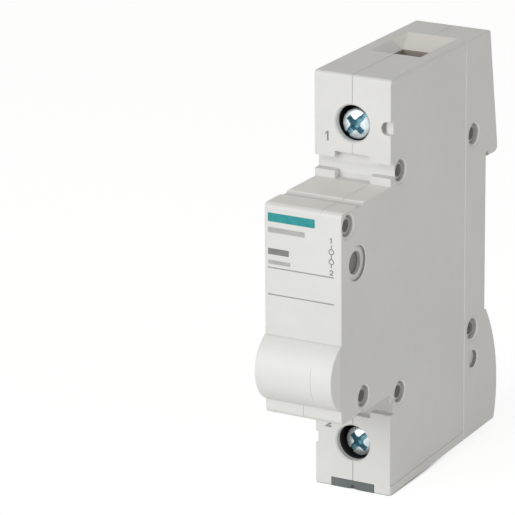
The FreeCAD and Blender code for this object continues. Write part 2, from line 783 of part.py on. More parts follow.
def make_rivet(name, y, z):
    """Semi-tubular rivet across both shells: rolled rim on the right, plain head on the left."""
    rivet = Piece(name)
    seat = f"({HALF} - sink_depth)"
    rim = f"({seat} + rivet_head)"
    head = f"(-{seat} - rivet_head)"
    half_section = [
        (head, "0"),
        (f"{rim} - rivet_bore_depth", "0"),
        (f"{rim} - rivet_bore_depth", "rivet_bore"),
        (rim, "rivet_bore"),
        ("via", f"{seat} + rivet_head * 0.8", "(rivet_bore + rivet_head_radius) / 2 + rivet_head / 4"),
        (seat, "rivet_head_radius"),
        (seat, "rivet_radius"),
        (f"-{seat}", "rivet_radius"),
        (f"-{seat}", "rivet_head_radius"),
        ("via", f"-{seat} - rivet_head * 0.68", "rivet_head_radius * 0.83"),
        (head, "rivet_head_radius / 3"),
    ]
    rivet.turn("XY_Plane", half_section, "H_Axis")
    rivet.place(y=y, z=z)
    return rivet


def make_screw(name, sign, inward):
    """Clamping screw with a domed head for cross and flat drivers, its axis along +Y."""
    screw = Piece(name)
    crown = "-head_dome"
    half_section = [
        ("0", crown),
        ("screw_head_radius / 4", crown),
        ("via", "screw_head_radius * 0.7", "-head_dome * 0.55"),
        ("screw_head_radius", "head_edge"),
        ("screw_head_radius", "screw_head"),
        ("screw_radius", "screw_head"),
        ("screw_radius", "screw_length - screw_end_cone"),
        ("dog_radius + dog_shoulder", "screw_length"),
        ("dog_radius", "screw_length"),
        ("dog_radius", "screw_length + dog_length"),
        ("0", "screw_length + dog_length"),
    ]
    screw.turn("XY_Plane", half_section, "V_Axis")
    slot = box("-screw_head_radius", "-slot_cut / 2", "screw_head_radius", "slot_cut / 2")
    screw.cut("XZ_Plane", [slot], crown, "slot_cut_depth")
    for wide, tall in (("cross_span", "cross_cut"), ("cross_cut", "cross_span")):
        mouth = box(f"-{wide} / 2", f"-{tall} / 2", f"{wide} / 2", f"{tall} / 2")
        foot = box(f"-{wide} * cross_foot / 2", f"-{tall} * cross_foot / 2",
                   f"{wide} * cross_foot / 2", f"{tall} * cross_foot / 2")
        # sketch planes across Y count their offset towards the front
        screw.funnel("XZ_Plane", mouth, "head_dome", foot, "-cross_depth")
    screw.body.Placement = FreeCAD.Placement(Vector(), FreeCAD.Rotation(Vector(0, 1, 0), number("head_turn")))
    screw.place(y=f"{FACE} + screw_recess + {inward}", z=clamp_height(sign))
    return screw


def make_plate(name, sign, inward):
    """Pressure plate that the screw's tip sits in and pushes on the wire."""
    plate = Piece(name)
    flat = box("-plate_half", "-plate_height / 2", "plate_half", "plate_height / 2")
    plate.add("XZ_Plane", [flat], "0", "plate_thick")
    rear = number("plate_thick")
    plate.soften("Chamfer", "plate_bevel", plate.edges_where(
        lambda edge: all(near(vertex.Y, rear) for vertex in edge.Vertexes)))
    socket = ("circle", "0", "0", "dog_radius + screw_play")
    plate.cut("XZ_Plane", [socket], "0", "dog_length + screw_play")
    plate.place(y=f"{PLATE_FRONT} + {inward}", z=clamp_height(sign))
    return plate


def make_cage(name, sign):
    """Folded steel frame round wire, plate and bar, with the screw's thread in its front."""
    cage = Piece(name)
    outer = box("-cage_half", CAGE_FRONT, "cage_half", CAGE_REAR)
    inner = box("-(cage_half - cage_strip)", f"{CAGE_FRONT} + cage_front_wall",
                "cage_half - cage_strip", f"{CAGE_REAR} - cage_rear_wall")
    cage.add("XY_Plane", [outer], "-cage_height / 2", "cage_height / 2")
    upright = number("cage_height")
    cage.soften("Fillet", "cage_round", cage.edges_where(
        lambda edge: len(edge.Vertexes) == 2 and near(abs(edge.Vertexes[0].Z - edge.Vertexes[1].Z), upright)))
    cage.cut("XY_Plane", [inner], "-cage_height / 2", "cage_height / 2")
    thread = ("circle", "0", "0", "screw_radius + screw_play")
    cage.cut("XZ_Plane", [thread], CAGE_FRONT, f"{CAGE_FRONT} + cage_front_wall")
    cage.place(z=clamp_height(sign))
    return cage


def make_terminal_bar(name, sign):
    """Copper bar that the wire is pressed on, riveted to the through bar."""
    bar = Piece(name)
    inner_end = f"({MID} + {sign} * ({TERMINAL} - bar_reach))"
    outer_end = f"({MID} + {sign} * ({TERMINAL} + bar_past_screw))"
    low, high = (inner_end, outer_end) if sign > 0 else (outer_end, inner_end)
    face = box("-bar_half", low, "bar_half", high)
    bar.add("XZ_Plane", [face], BAR_FRONT, BAR_REAR)
    bar.cut("XZ_Plane", [bar_rivet_hole(sign)], BAR_FRONT, BAR_REAR)
    for step in (-1, 0, 1):
        height = f"({clamp_height(sign)} + {step} * bar_tooth_pitch)"
        groove = [
            (BAR_FRONT, f"{height} - bar_tooth_half"),
            (f"{BAR_FRONT} + bar_tooth", height),
            (BAR_FRONT, f"{height} + bar_tooth_half"),
        ]
        bar.cut("YZ_Plane", [groove], "-bar_half", "bar_half")
    return bar


def bar_rivet_height(sign):
    return f"({MID} + {sign} * ({TERMINAL} - bar_rivet_in))"


def bar_rivet_hole(sign):
    return ("circle", "0", bar_rivet_height(sign), "bar_rivet_radius + rivet_play")


def make_through_bar(name):
    """Copper bar between the two terminal bars."""
    bar = Piece(name)
    face = box("-bar_half", f"{MID} - {TERMINAL} + through_short", "bar_half", f"{MID} + {TERMINAL} - through_short")
    bar.add("XZ_Plane", [face], BAR_REAR, f"{BAR_REAR} + bar_thick")
    bar.cut("XZ_Plane", [bar_rivet_hole(1), bar_rivet_hole(-1)], BAR_REAR, f"{BAR_REAR} + bar_thick")
    return bar


def make_bar_rivet(name, sign):
    """Solid rivet with two domed heads that joins two bars."""
    rivet = Piece(name)
    flat = "bar_rivet_head / 3"
    shoulder = "bar_rivet_head * 0.83"
    half_section = [
        ("0", "-bar_thick - bar_rivet_crown"),
        (flat, "-bar_thick - bar_rivet_crown"),
        ("via", shoulder, "-bar_thick - bar_rivet_crown * 0.68"),
        ("bar_rivet_head", "-bar_thick"),
        ("bar_rivet_radius", "-bar_thick"),
        ("bar_rivet_radius", "bar_thick"),
        ("bar_rivet_head", "bar_thick"),
        ("via", shoulder, "bar_thick + bar_rivet_crown * 0.68"),
        (flat, "bar_thick + bar_rivet_crown"),
        ("0", "bar_thick + bar_rivet_crown"),
    ]
    rivet.turn("XY_Plane", half_section, "V_Axis")
    rivet.place(y=BAR_REAR, z=bar_rivet_height(sign))
    return rivet


def make_latch(name):
    """Sliding rail latch: nose behind the rail, upright with ears, arm to the front tab."""
    latch = Piece(name)
    tip = f"({RAIL_BOTTOM} + latch_overlap)"
    arm_front = f"({BOTTOM} + arm_gap)"
    arm_corner = f"({arm_front} + {BOTTOM_SLOPE} * (latch_front_y + terminal_depth))"
    arm_end = f"({arm_front} + {BOTTOM_SLOPE} * ({LATCH_REAR} + terminal_depth))"
    side_view = [
        ("latch_front_y", tip),
        ("latch_front_y", f"{arm_corner} + arm_thick"),
        (FACE, f"{arm_front} + arm_thick"),
        (FACE, arm_front),
        (LATCH_REAR, arm_end),
        (LATCH_REAR, f"{tip} - latch_bevel"),
        (f"{LATCH_REAR} - latch_bevel", tip),
    ]
    latch.add("YZ_Plane", [side_view], "-latch_half", "latch_half")
    ear = box("latch_front_y", EAR_LOW, LATCH_REAR, EAR_TOP)
    latch.add("YZ_Plane", [ear], "-ear_half", "ear_half")
    spring_window = box("-spring_radius - spring_wire", f"{SPRING_SEAT} - seat_rib - cut_past",
                        "spring_radius + spring_wire", f"{SPRING_SEAT} + spring_length")
    latch.cut("XZ_Plane", [spring_window], "latch_front_y", LATCH_REAR)
    passage = box("-window_half", f"{THROAT_FRONT} - window_play", "window_half", f"{THROAT_REAR} + window_play")
    latch.cut("XY_Plane", [passage], f"{BOTTOM} - cut_past", EAR_LOW)
    notch = [("-pry_notch", arm_front), ("0", f"{arm_front} + pry_notch"), ("pry_notch", arm_front)]
    latch.cut("XZ_Plane", [notch], FACE, f"{FACE} + 3 * pry_notch")
    return latch


def make_spring(name):
    """Compression spring between the housing's rib and the latch's window."""
    spring = Piece(name)
    section = ("circle", "spring_radius", "spring_wire / 2", "spring_wire / 2")
    profile = spring.drawn("XZ_Plane", "0", [section])
    coil = spring.body.newObject("PartDesign::AdditiveHelix", f"{name}_coil")
    coil.Profile = profile
    coil.ReferenceAxis = (profile, ["V_Axis"])
    coil.Mode = "height-turns-growth"
    coil.Height = number("spring_length - spring_wire")
    coil.setExpression("Height", bound("spring_length - spring_wire"))
    coil.Turns = number("spring_turns")
    coil.setExpression("Turns", bound("spring_turns"))
    spring.place(y=SPRING_Y, z=SPRING_SEAT)
    return spring


def build():
    pieces = [
        make_shell("housing_left", -1),
        make_shell("housing_right", 1),
        make_through_bar("through_bar"),
        make_latch("rail_latch"),
        make_spring("latch_spring"),
    ]
    pieces += [make_rivet(*place) for place in RIVETS]
    for word, sign, inward in (("upper", 1, "0"), ("lower", -1, "lower_screw_in")):
        pieces.append(make_screw(f"{word}_terminal_screw", sign, inward))
        pieces.append(make_plate(f"{word}_pressure_plate", sign, inward))
        pieces.append(make_cage(f"{word}_clamp_cage", sign))
        pieces.append(make_terminal_bar(f"{word}_terminal_bar", sign))
        pieces.append(make_bar_rivet(f"{word}_bar_rivet", sign))
    return pieces


def check_and_write(pieces):
    doc.recompute()
    failed = [item.Name for item in doc.Objects if "Invalid" in item.State or "Error" in item.State]
    if failed:
        raise RuntimeError("failed: " + ", ".join(failed))
    for piece in pieces:
        for pocket in piece.pockets:
            if pocket.Shape.Volume >= pocket.BaseFeature.Shape.Volume - 1e-6:
                raise RuntimeError(pocket.Name + " cuts nothing")
        shape = piece.body.Shape
        if shape.isNull() or not shape.isValid():
            raise RuntimeError(piece.body.Label + " has no valid shape")
    os.makedirs("parts", exist_ok=True)
    for piece in pieces:
        piece.body.Shape.exportStep(f"parts/{piece.body.Label}.step")


check_and_write(build())
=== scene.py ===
import json
import math

import bmesh
import bpy
from mathutils import Matrix, Vector


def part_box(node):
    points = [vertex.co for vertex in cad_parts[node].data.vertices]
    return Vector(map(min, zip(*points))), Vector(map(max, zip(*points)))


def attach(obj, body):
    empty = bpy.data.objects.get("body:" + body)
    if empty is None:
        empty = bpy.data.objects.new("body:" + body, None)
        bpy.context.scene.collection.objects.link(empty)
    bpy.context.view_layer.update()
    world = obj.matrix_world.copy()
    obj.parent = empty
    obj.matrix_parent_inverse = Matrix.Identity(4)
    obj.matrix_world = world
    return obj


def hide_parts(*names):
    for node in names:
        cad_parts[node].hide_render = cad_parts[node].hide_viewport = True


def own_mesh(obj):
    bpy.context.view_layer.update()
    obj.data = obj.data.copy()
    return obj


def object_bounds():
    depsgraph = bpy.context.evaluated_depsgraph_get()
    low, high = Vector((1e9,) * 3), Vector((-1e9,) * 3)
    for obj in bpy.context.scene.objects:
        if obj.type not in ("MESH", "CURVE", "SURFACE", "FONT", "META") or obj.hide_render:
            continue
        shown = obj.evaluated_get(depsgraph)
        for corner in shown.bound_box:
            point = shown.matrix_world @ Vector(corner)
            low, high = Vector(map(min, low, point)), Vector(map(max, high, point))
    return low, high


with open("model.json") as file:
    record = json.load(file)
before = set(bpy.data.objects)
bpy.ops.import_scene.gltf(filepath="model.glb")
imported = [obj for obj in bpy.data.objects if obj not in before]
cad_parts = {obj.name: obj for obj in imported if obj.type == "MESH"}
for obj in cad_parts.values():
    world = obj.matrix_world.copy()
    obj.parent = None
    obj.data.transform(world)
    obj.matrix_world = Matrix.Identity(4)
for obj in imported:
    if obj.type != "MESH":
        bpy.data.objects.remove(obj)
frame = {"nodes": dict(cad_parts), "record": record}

# Looks of a one-module through-terminal pole, around its solids. Metres, -Y the front.

MM = 0.001
cad_low, cad_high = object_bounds()

# Faces of the housing, read from its solids.
shell_vertices = [vertex.co for vertex in frame["nodes"]["housing_left"].data.vertices]
LABEL_Y = min(place.y for place in shell_vertices if place.z > 0)
TERMINAL_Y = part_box("rail_latch")[0].y
SIDE_X = cad_high.x
TOP_Z = cad_high.z
BOTTOM_Z = cad_low.z

# The two terminals, in the names of their pieces.
TERMINALS = ("upper", "lower")

# Parting lines of the two shells, on the faces that they cross.
NOSE_SEAM = 4.1 * MM
SEAM_HALF = 0.035 * MM
SEAM_DEPTH = 0.3 * MM
LIP_TOP = -20.4 * MM
UPPER_SEAM_LOW = 35.0 * MM
BULGE_SEAM_SPAN = (-18.0 * MM, -10.5 * MM)
BULGE_SEAM_BEHIND_LABEL = 2.0 * MM
NOSE_TOP_SEAM_LOW = 20.8 * MM
NOSE_BEFORE_TERMINAL = 1.0 * MM

# Top of the nose, and the bulge on its front, both painted lighter to stand in for light.
NOSE_TOP = 21.8 * MM
NOSE_TOP_LAP = 0.4 * MM
NOSE_TOP_BEHIND_LABEL = 0.6 * MM
NOSE_TOP_BEFORE_TERMINAL = 0.3 * MM
NOSE_TOP_SIDE = 0.1 * MM
BULGE_BEFORE_LABEL = 0.5 * MM

# Painted highlight along the line on the side faces in front of their raised rear strip.
PANEL_LINE_Y = -9.3 * MM
PANEL_LINE_HALF = 0.09 * MM
PANEL_LINE_DEPTH = 0.2 * MM

# Coupling recess and pin recess in the side faces, their centres in Y and Z, with painted highlights
# on their bevels and painted shade on their floors, walls and the coupling's hole.
COUPLING_PLACE = (-57.2 * MM, 9.4 * MM)
COUPLING_RIM = 3.7 * MM
COUPLING_HOLE = 2.5 * MM
COUPLING_FLOOR = 1.5 * MM
COUPLING_FLOOR_WIDTH = 0.45 * MM
PIN_PLACE = (-5.1 * MM, -27.2 * MM)
PIN_RIM = 1.95 * MM
RECESS_BEVEL = 0.2 * MM
RECESS_BEVEL_DEPTH = 0.3 * MM
RECESS_MOUTH = 0.22 * MM
RECESS_DEPTH = 2.5 * MM
RECESS_WALL_HALF = 0.05 * MM

# Screw holes, whose middle lies a little over the screw's axis, and the painted shade deep in their
# bores.
HOLE_OVER_SCREW = 0.5 * MM
HOLE_RIM = 1.5 * MM
BORE_RADIUS = 4.4 * MM
BORE_DEPTH = 9.6 * MM

# Inner ends of the small open slots in the terminal faces, which get a painted shade.
RIGHT_SLOT_END = (6.4 * MM, 7.3 * MM)
LEFT_SLOT_END = (-7.9 * MM, -7.4 * MM)
SLOT_HALF = 1.45 * MM
SLOT_DEPTHS = (0.12 * MM, 1.5 * MM)

# Wire entry in the top, with painted shade inside it, and the rear slope of its funnel, painted
# lighter as light.
THROAT_HALF = 3.3 * MM
THROAT_SPAN = (-24.0 * MM, -14.7 * MM)
THROAT_UNDER_TOP = 1.75 * MM
THROAT_DEPTH = 9.0 * MM
SLOPE_HALF = 7.0 * MM
SLOPE_LAP = 0.2 * MM
SLOPE_UNDER_TOP = 0.02 * MM
SLOPE_REAR = -3.0 * MM

# Rivets and the sinks that they lie in, with a painted highlight on the sinks' rims and painted
# light in the rivets' hollow ends.
SINK_RADIUS = 2.3 * MM
SINK_BEVEL = 0.3 * MM
SINK_BEVEL_DEPTH = 0.6 * MM
RIM_FALL = 0.35 * MM
RIM_BUMP = 0.2 * MM
RIVET_BORE = 1.36 * MM
RIVET_END = 4.0 * MM

# Tones of the housing, in screen values: its own tones and dark seams, then painted light, shade and
# highlights.
DARKER_PLASTIC = (211, 211, 208)
LIGHTER_PLASTIC = (218, 218, 216)
# painted light: the nose top is painted lighter than the housing
NOSE_TOP_PAINTED_LIGHT = (230, 228, 223)
# painted light: the bulge on the nose's front is painted lighter
BULGE_PAINTED_LIGHT = (221, 221, 219)
# painted light: the funnel's rear slope, which looks to the front, is painted lighter
REAR_SLOPE_PAINTED_LIGHT = (232, 228, 222)
CLEAR_SEAM_TONE = (120, 119, 116)
FAINT_SEAM_TONE = (168, 167, 163)
# painted shade: the inside of the wire entry is painted dark
THROAT_PAINTED_SHADE = (168, 157, 149)
# painted shade: deep in the screw bores, nearly black
BORE_PAINTED_SHADE = (52, 51, 50)
# painted shade: the inner ends of the small slots
SLOT_END_PAINTED_SHADE = (168, 167, 163)
# painted highlight: the pale line along the side panel's step
PANEL_LINE_PAINTED_HIGHLIGHT = (240, 240, 237)
# painted highlight: the pale rims of the rivets' sinks
SINK_RIM_PAINTED_HIGHLIGHT = (238, 238, 235)
# painted highlight: the bevels round the side recesses
RECESS_BEVEL_PAINTED_HIGHLIGHT = (240, 240, 237)
# painted shade: the coupling recess's floor beside its wall
RECESS_FLOOR_PAINTED_SHADE = (200, 199, 195)
# painted shade: the recesses' walls
RECESS_WALL_PAINTED_SHADE = (164, 163, 159)
# painted shade: the coupling's inner hole
COUPLING_HOLE_PAINTED_SHADE = (124, 123, 119)

# Print on the label.
INK_LIFT = 0.02 * MM
RULE_SPAN = (-8.1 * MM, 7.1 * MM)
RULE_HEIGHTS = (8.0 * MM, 2.3 * MM)
RULE_WIDTH = 0.27 * MM
SYMBOL_X = 6.55 * MM
RING_HEIGHTS = (13.35 * MM, 11.25 * MM)
RING_RADIUS = 0.52 * MM
RING_STEPS = 48
WIRE_STEPS = 12
LINE_WIDTH = 0.2 * MM
DIGIT_SIZE = 1.15 * MM
DIGIT_STROKE = 0.22 * MM
DIGIT_GAP = 0.95 * MM
DIGIT_HEIGHTS = {"1": 15.75 * MM, "2": 9.0 * MM}
FIELD_LEFT = -8.0 * MM
# right end, low edge, high edge and rounding of the corners
FIELDS = {
    "teal_field": (2.8 * MM, 17.75 * MM, 19.6 * MM, 0.2 * MM),
    "type_field": (0.5 * MM, 15.45 * MM, 16.55 * MM, 0.15 * MM),
    "rating_field": (-3.2 * MM, 10.8 * MM, 12.1 * MM, 0.15 * MM),
    "supply_field": (-2.9 * MM, 8.75 * MM, 9.6 * MM, 0.15 * MM),
}
CORNER_STEPS = 6

# Digits moulded beside the screw holes, and where they lie from the screw's axis.
MOULDED_DIGITS = {"upper": "1", "lower": "2"}
MOULDED_X = {"upper": -5.7 * MM, "lower": -5.65 * MM}
MOULDED_OVER_SCREW = {"upper": -2.75 * MM, "lower": 4.2 * MM}
MOULDED_SIZE = 2.1 * MM
MOULDED_STROKE = 0.42 * MM

# Form of the digits. Their reach to a side is a share of the height, the flag's fall and the
# foot's reach are shares of that reach, and the flag's start and root are shares of the stroke.
DIGIT_REACH = 0.27
FLAG_FALL = 0.8
FLAG_START = 0.3
FLAG_ROOT = 1.1
FOOT_REACH = 1.1
ARC_DEGREES = range(165, -46, -15)

# Heads of the terminal screws, and the thin skin that lies over their driver recess.
HEAD_RADIUS = 3.2 * MM
HEAD_EDGE = 0.1 * MM
HEAD_LENGTH = 3.3 * MM
HEAD_TURN = math.radians(90)
UNDER_DOME = 0.75 * MM
DOME_SLOPE = -0.6
RECESS_REACH = 2.6 * MM
SKIN_RADIUS = 1.15 * MM
SKIN_DEPTH = 0.03 * MM

# Thread of the terminal screws.
THREAD_RADIUS = 2.88 * MM
THREAD_DEPTH = 0.5 * MM
THREAD_PITCH = 1.0 * MM
THREAD_LENGTH = 11.3 * MM
THREAD_RINGS = 170
THREAD_SIDES = 56
FLANK_STEEPNESS = 1.3
WHOLE_TURNS = 10.0
DOG_RADIUS = 2.0 * MM
DOG_LENGTH = 0.7 * MM
DOG_BEVEL = 0.3 * MM
SHANK_LAP = 0.1 * MM
CUT_PAST_SHANK = 0.05 * MM

# Corners this close are joined, and corners this close to a cut lie on it.
WELD = 0.001 * MM
CUT_REACH = 0.0001 * MM

# Range in which a noise mostly stays.
NOISE_RANGE = (0.3, 0.7)

# Floor of the studio: what it throws back, what it shows, and the painted shade under the part.
FLOOR_RADIUS = 6.0
FLOOR_SIDES = 96
FLOOR_BOUNCE = (0.92, 0.92, 0.9, 1)
FLOOR_SHADE = (0.28, 0.28, 0.28, 1)
FLOOR_GLOW = (0.05, 0.84)
CONTACT_REACH = 1.5 * MM
CONTACT_OPENING = (0.22, 0.42)

# Soft studio light: a broad key from the front left, a low fill from the front, one from the right.
SKY = 0.36
SKY_TINT = (1.0, 0.98, 0.95, 1)
LAMPS = [
    ("key_light", (-0.35, -1.0, 0.42), 1.0, 6.95, (0.985, 0.99, 1.0)),
    ("low_front_fill", (-0.1, -1.1, 0.12), 0.6, 1.6, (1.0, 1.0, 1.0)),
    ("side_fill", (1.1, -0.3, 0.26), 0.6, 2.5, (1.0, 1.0, 0.99)),
]

# The photograph's camera, fitted to the housing's corners.
CAMERA_PLACE = Vector((0.37964, -0.74496, 0.26535))
CAMERA_YAW = math.radians(29.808)
CAMERA_PITCH = math.radians(18.049)
CAMERA_ROLL = math.radians(-0.491)
CAMERA_LENS = 285.23
SENSOR_WIDTH = 36
CLIP_START = 0.01


class Graph:
    """A node tree with short names for adding and joining nodes."""

    def __init__(self, tree):
        self.tree = tree

    def add(self, kind, inputs=None, **settings):
        made = self.tree.nodes.new(kind)
        for key, value in settings.items():
            setattr(made, key, value)
        for key, value in (inputs or {}).items():
            if isinstance(value, bpy.types.NodeSocket):
                self.tree.links.new(value, made.inputs[key])
            else:
                made.inputs[key].default_value = value
        return made

    def math(self, operation, first, second=0.0, third=0.0):
        kind = "ShaderNodeMath"
        return self.add(kind, {0: first, 1: second, 2: third}, operation=operation).outputs[0]

    def mix(self, share, first, second):
        made = self.add("ShaderNodeMix", {"Factor": share}, data_type="RGBA")
        for socket, value in ((made.inputs[6], first), (made.inputs[7], second)):
            if isinstance(value, bpy.types.NodeSocket):
                self.tree.links.new(value, socket)
            else:
                socket.default_value = value
        return made.outputs[2]

    def noise(self, position, scale, detail=2.0, roughness=0.5):
        values = {"Vector": position, "Scale": scale, "Detail": detail, "Roughness": roughness}
        return self.add("ShaderNodeTexNoise", values).outputs[0]

    def object_position(self):
        return self.add("ShaderNodeTexCoord").outputs["Object"]


def new_group(name, kind, inputs, outputs):
    """An empty node group with named inputs, given as name: (socket type, value), and outputs."""
    tree = bpy.data.node_groups.new(name, kind)
    for socket, (socket_type, value) in inputs.items():
        made = tree.interface.new_socket(socket, in_out="INPUT", socket_type=socket_type)
        if value is not None:
            made.default_value = value
    for socket, socket_type in outputs.items():
        tree.interface.new_socket(socket, in_out="OUTPUT", socket_type=socket_type)
    graph = Graph(tree)
    return graph, graph.add("NodeGroupInput").outputs, graph.add("NodeGroupOutput").inputs


def float_inputs(**values):
    return {name.replace("_", " "): ("NodeSocketFloat", value) for name, value in values.items()}


def moulded_grain_group():
    """Fine spark-eroded mould grain with the slow change of tone that a moulding has."""
    graph, given, result = new_group(
        "moulded_grain", "ShaderNodeTree",
        float_inputs(Grain_per_metre=9000.0, Flow_per_metre=45.0),
        {"Height": "NodeSocketFloat", "Tone": "NodeSocketFloat", "Gloss": "NodeSocketFloat"},
    )
    position = graph.object_position()
    fine = graph.noise(position, given["Grain per metre"], detail=3.0, roughness=0.55)
    flow = graph.noise(position, given["Flow per metre"], detail=2.0, roughness=0.4)
    clouds_per_metre = graph.math("MULTIPLY", given["Flow per metre"], 7.0)
    cloud = graph.noise(position, clouds_per_metre, detail=3.0)
    graph.tree.links.new(fine, result["Height"])
    tone = graph.math("ADD", graph.math("MULTIPLY", flow, 0.7), graph.math("MULTIPLY", cloud, 0.3))
    graph.tree.links.new(tone, result["Tone"])
    gloss = graph.math("MULTIPLY_ADD", cloud, 0.6, graph.math("MULTIPLY", fine, 0.4))
    graph.tree.links.new(gloss, result["Gloss"])
    return graph.tree


def rolled_metal_group():
    """Drawing marks along one axis, pores and slow clouds of a plated or rolled metal."""
    graph, given, result = new_group(
        "rolled_metal", "ShaderNodeTree",
        {
            "Stretch": ("NodeSocketVector", (1.0, 1.0, 0.08)),
            "Marks per metre": ("NodeSocketFloat", 9000.0),
            "Clouds per metre": ("NodeSocketFloat", 500.0),
        },
        {"Height": "NodeSocketFloat", "Tone": "NodeSocketFloat", "Gloss": "NodeSocketFloat"},
    )
    position = graph.object_position()
    values = {0: position, 1: given["Stretch"]}
    stretched = graph.add("ShaderNodeVectorMath", values, operation="MULTIPLY").outputs[0]
    marks = graph.noise(stretched, given["Marks per metre"], detail=4.0, roughness=0.6)
    clouds = graph.noise(position, given["Clouds per metre"], detail=3.0, roughness=0.55)
    graph.tree.links.new(marks, result["Height"])
    graph.tree.links.new(clouds, result["Tone"])
    mixed = graph.math("MULTIPLY_ADD", marks, 0.5, graph.math("MULTIPLY", clouds, 0.5))
    graph.tree.links.new(mixed, result["Gloss"])
    return graph.tree


MOULDED_GRAIN = moulded_grain_group()
ROLLED_METAL = rolled_metal_group()


def srgb(red, green, blue):
    """A colour given in screen values from 0 to 255, as the linear colour that shaders take."""
    def linear(value):
        share = value / 255
        return share / 12.92 if share <= 0.04045 else ((share + 0.055) / 1.055) ** 2.4
    return (linear(red), linear(green), linear(blue), 1.0)


def finished(name):
    """A new material: its graph, its shader's inputs, and the material."""
    made = bpy.data.materials.new(name)
    made.use_nodes = True
    made.node_tree.nodes.clear()
    graph = Graph(made.node_tree)
    shader = graph.add("ShaderNodeBsdfPrincipled")
    graph.add("ShaderNodeOutputMaterial", {"Surface": shader.outputs[0]})
    return graph, shader.inputs, made


def placed(graph, group, **values):
    """The outputs of a shader group placed in a material."""
    made = graph.add("ShaderNodeGroup", node_tree=group)
    for key, value in values.items():
        made.inputs[key.replace("_", " ")].default_value = value
    return made.outputs


def bump(graph, height, depth, strength=1.0, base=None):
    values = {"Height": height, "Distance": depth, "Strength": strength}
    if base is not None:
        values["Normal"] = base
    return graph.add("ShaderNodeBump", values).outputs[0]


def spread(graph, value, low, high):
    """A noise spread between two values."""
    return graph.add("ShaderNodeMapRange", {
        "Value": value, "From Min": NOISE_RANGE[0], "From Max": NOISE_RANGE[1],
        "To Min": low, "To Max": high}).outputs[0]


class Places:
    """Masks over a piece's Object coordinates: 1 in a region and 0 outside it."""

    def __init__(self, graph):
        self.graph = graph
        self.parts = graph.add("ShaderNodeSeparateXYZ", {0: graph.object_position()}).outputs

    def all_of(self, masks):
        result = masks[0]
        for mask in masks[1:]:
            result = self.graph.math("MULTIPLY", result, mask)
        return result

    def any_of(self, masks):
        result = masks[0]
        for mask in masks[1:]:
            result = self.graph.math("MAXIMUM", result, mask)
        return result

    def over(self, axis, low):
        return self.graph.math("GREATER_THAN", self.parts["XYZ".index(axis)], low)

    def under(self, axis, high):
        return self.graph.math("LESS_THAN", self.parts["XYZ".index(axis)], high)

    def within(self, axis, low, high):
        return self.all_of([self.over(axis, low), self.under(axis, high)])

    def close_to(self, axis, place, reach):
        off = self.graph.math("SUBTRACT", self.parts["XYZ".index(axis)], place)
        return self.graph.math("LESS_THAN", self.graph.math("ABSOLUTE", off), reach)

    def near_sides(self, depth):
        """Within a depth of one of the two side faces."""
        out = self.graph.math("ABSOLUTE", self.parts[0])
        return self.graph.math("GREATER_THAN", out, SIDE_X - depth)

    def below_sides(self, depth):
        """Further in than a depth from both side faces."""
        return self.graph.math("SUBTRACT", 1.0, self.near_sides(depth))

    def distance(self, axes, centre):
        """Distance from an axis line through a centre in the plane of two axes."""
        squares = []
        for axis, place in zip(axes, centre):
            off = self.graph.math("SUBTRACT", self.parts["XYZ".index(axis)], place)
            squares.append(self.graph.math("MULTIPLY", off, off))
        return self.graph.math("SQRT", self.graph.math("ADD", *squares))

    def inside(self, axes, centre, radius):
        return self.graph.math("LESS_THAN", self.distance(axes, centre), radius)

    def ring(self, away, low, high):
        """Where a distance lies between two values."""
        off = self.graph.math("SUBTRACT", away, (low + high) / 2)
        return self.graph.math("LESS_THAN", self.graph.math("ABSOLUTE", off), (high - low) / 2)

    def to_rivets(self):
        """Distance from the axis of the nearest rivet."""
        nearest = None
        for name in frame["nodes"]:
            if name.startswith("rivet_"):
                away = self.distance("YZ", middle_of(name).yz)
                nearest = away if nearest is None else self.graph.math("MINIMUM", nearest, away)
        return nearest


def middle_of(name):
    """Middle of a solid's box."""
    low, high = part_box(name)
    return (low + high) / 2


def hole_heights():
    """Heights of the two screw holes."""
    return [middle_of(f"{word}_terminal_screw").z + HOLE_OVER_SCREW for word in TERMINALS]


def seam_masks(places):
    """Hairlines where the shells meet: the clear ones on the lower block, the faint ones above."""
    middle = places.close_to("X", 0.0, SEAM_HALF)
    stepped = places.close_to("X", NOSE_SEAM, SEAM_HALF)
    face = places.close_to("Y", TERMINAL_Y, SEAM_DEPTH)
    on_nose = places.under("Y", TERMINAL_Y - NOSE_BEFORE_TERMINAL)
    low_face = places.all_of([middle, face, places.under("Z", 0.0)])
    lip = places.all_of([middle, on_nose, places.under("Z", LIP_TOP)])
    high_face = places.all_of([middle, face, places.over("Z", UPPER_SEAM_LOW)])
    bulge = places.all_of([stepped, places.under("Y", LABEL_Y + BULGE_SEAM_BEHIND_LABEL),
                           places.within("Z", *BULGE_SEAM_SPAN)])
    nose_top = places.all_of([stepped, places.over("Z", NOSE_TOP_SEAM_LOW), on_nose])
    return places.any_of([low_face, lip]), places.any_of([high_face, bulge, nose_top])


def nose_top_mask(places):
    """Top of the nose, behind the label's upper edge, which gets a painted light: a lighter tone."""
    return places.all_of([
        places.over("Z", NOSE_TOP - NOSE_TOP_LAP),
        places.within("Y", LABEL_Y + NOSE_TOP_BEHIND_LABEL, TERMINAL_Y - NOSE_TOP_BEFORE_TERMINAL),
        places.below_sides(NOSE_TOP_SIDE)])


def throat_mask(places):
    """Inside of the wire entry, under its funnel, which gets a painted shade: a dark tone."""
    return places.all_of([
        places.within("X", -THROAT_HALF, THROAT_HALF), places.within("Y", *THROAT_SPAN),
        places.within("Z", TOP_Z - THROAT_DEPTH, TOP_Z - THROAT_UNDER_TOP)])


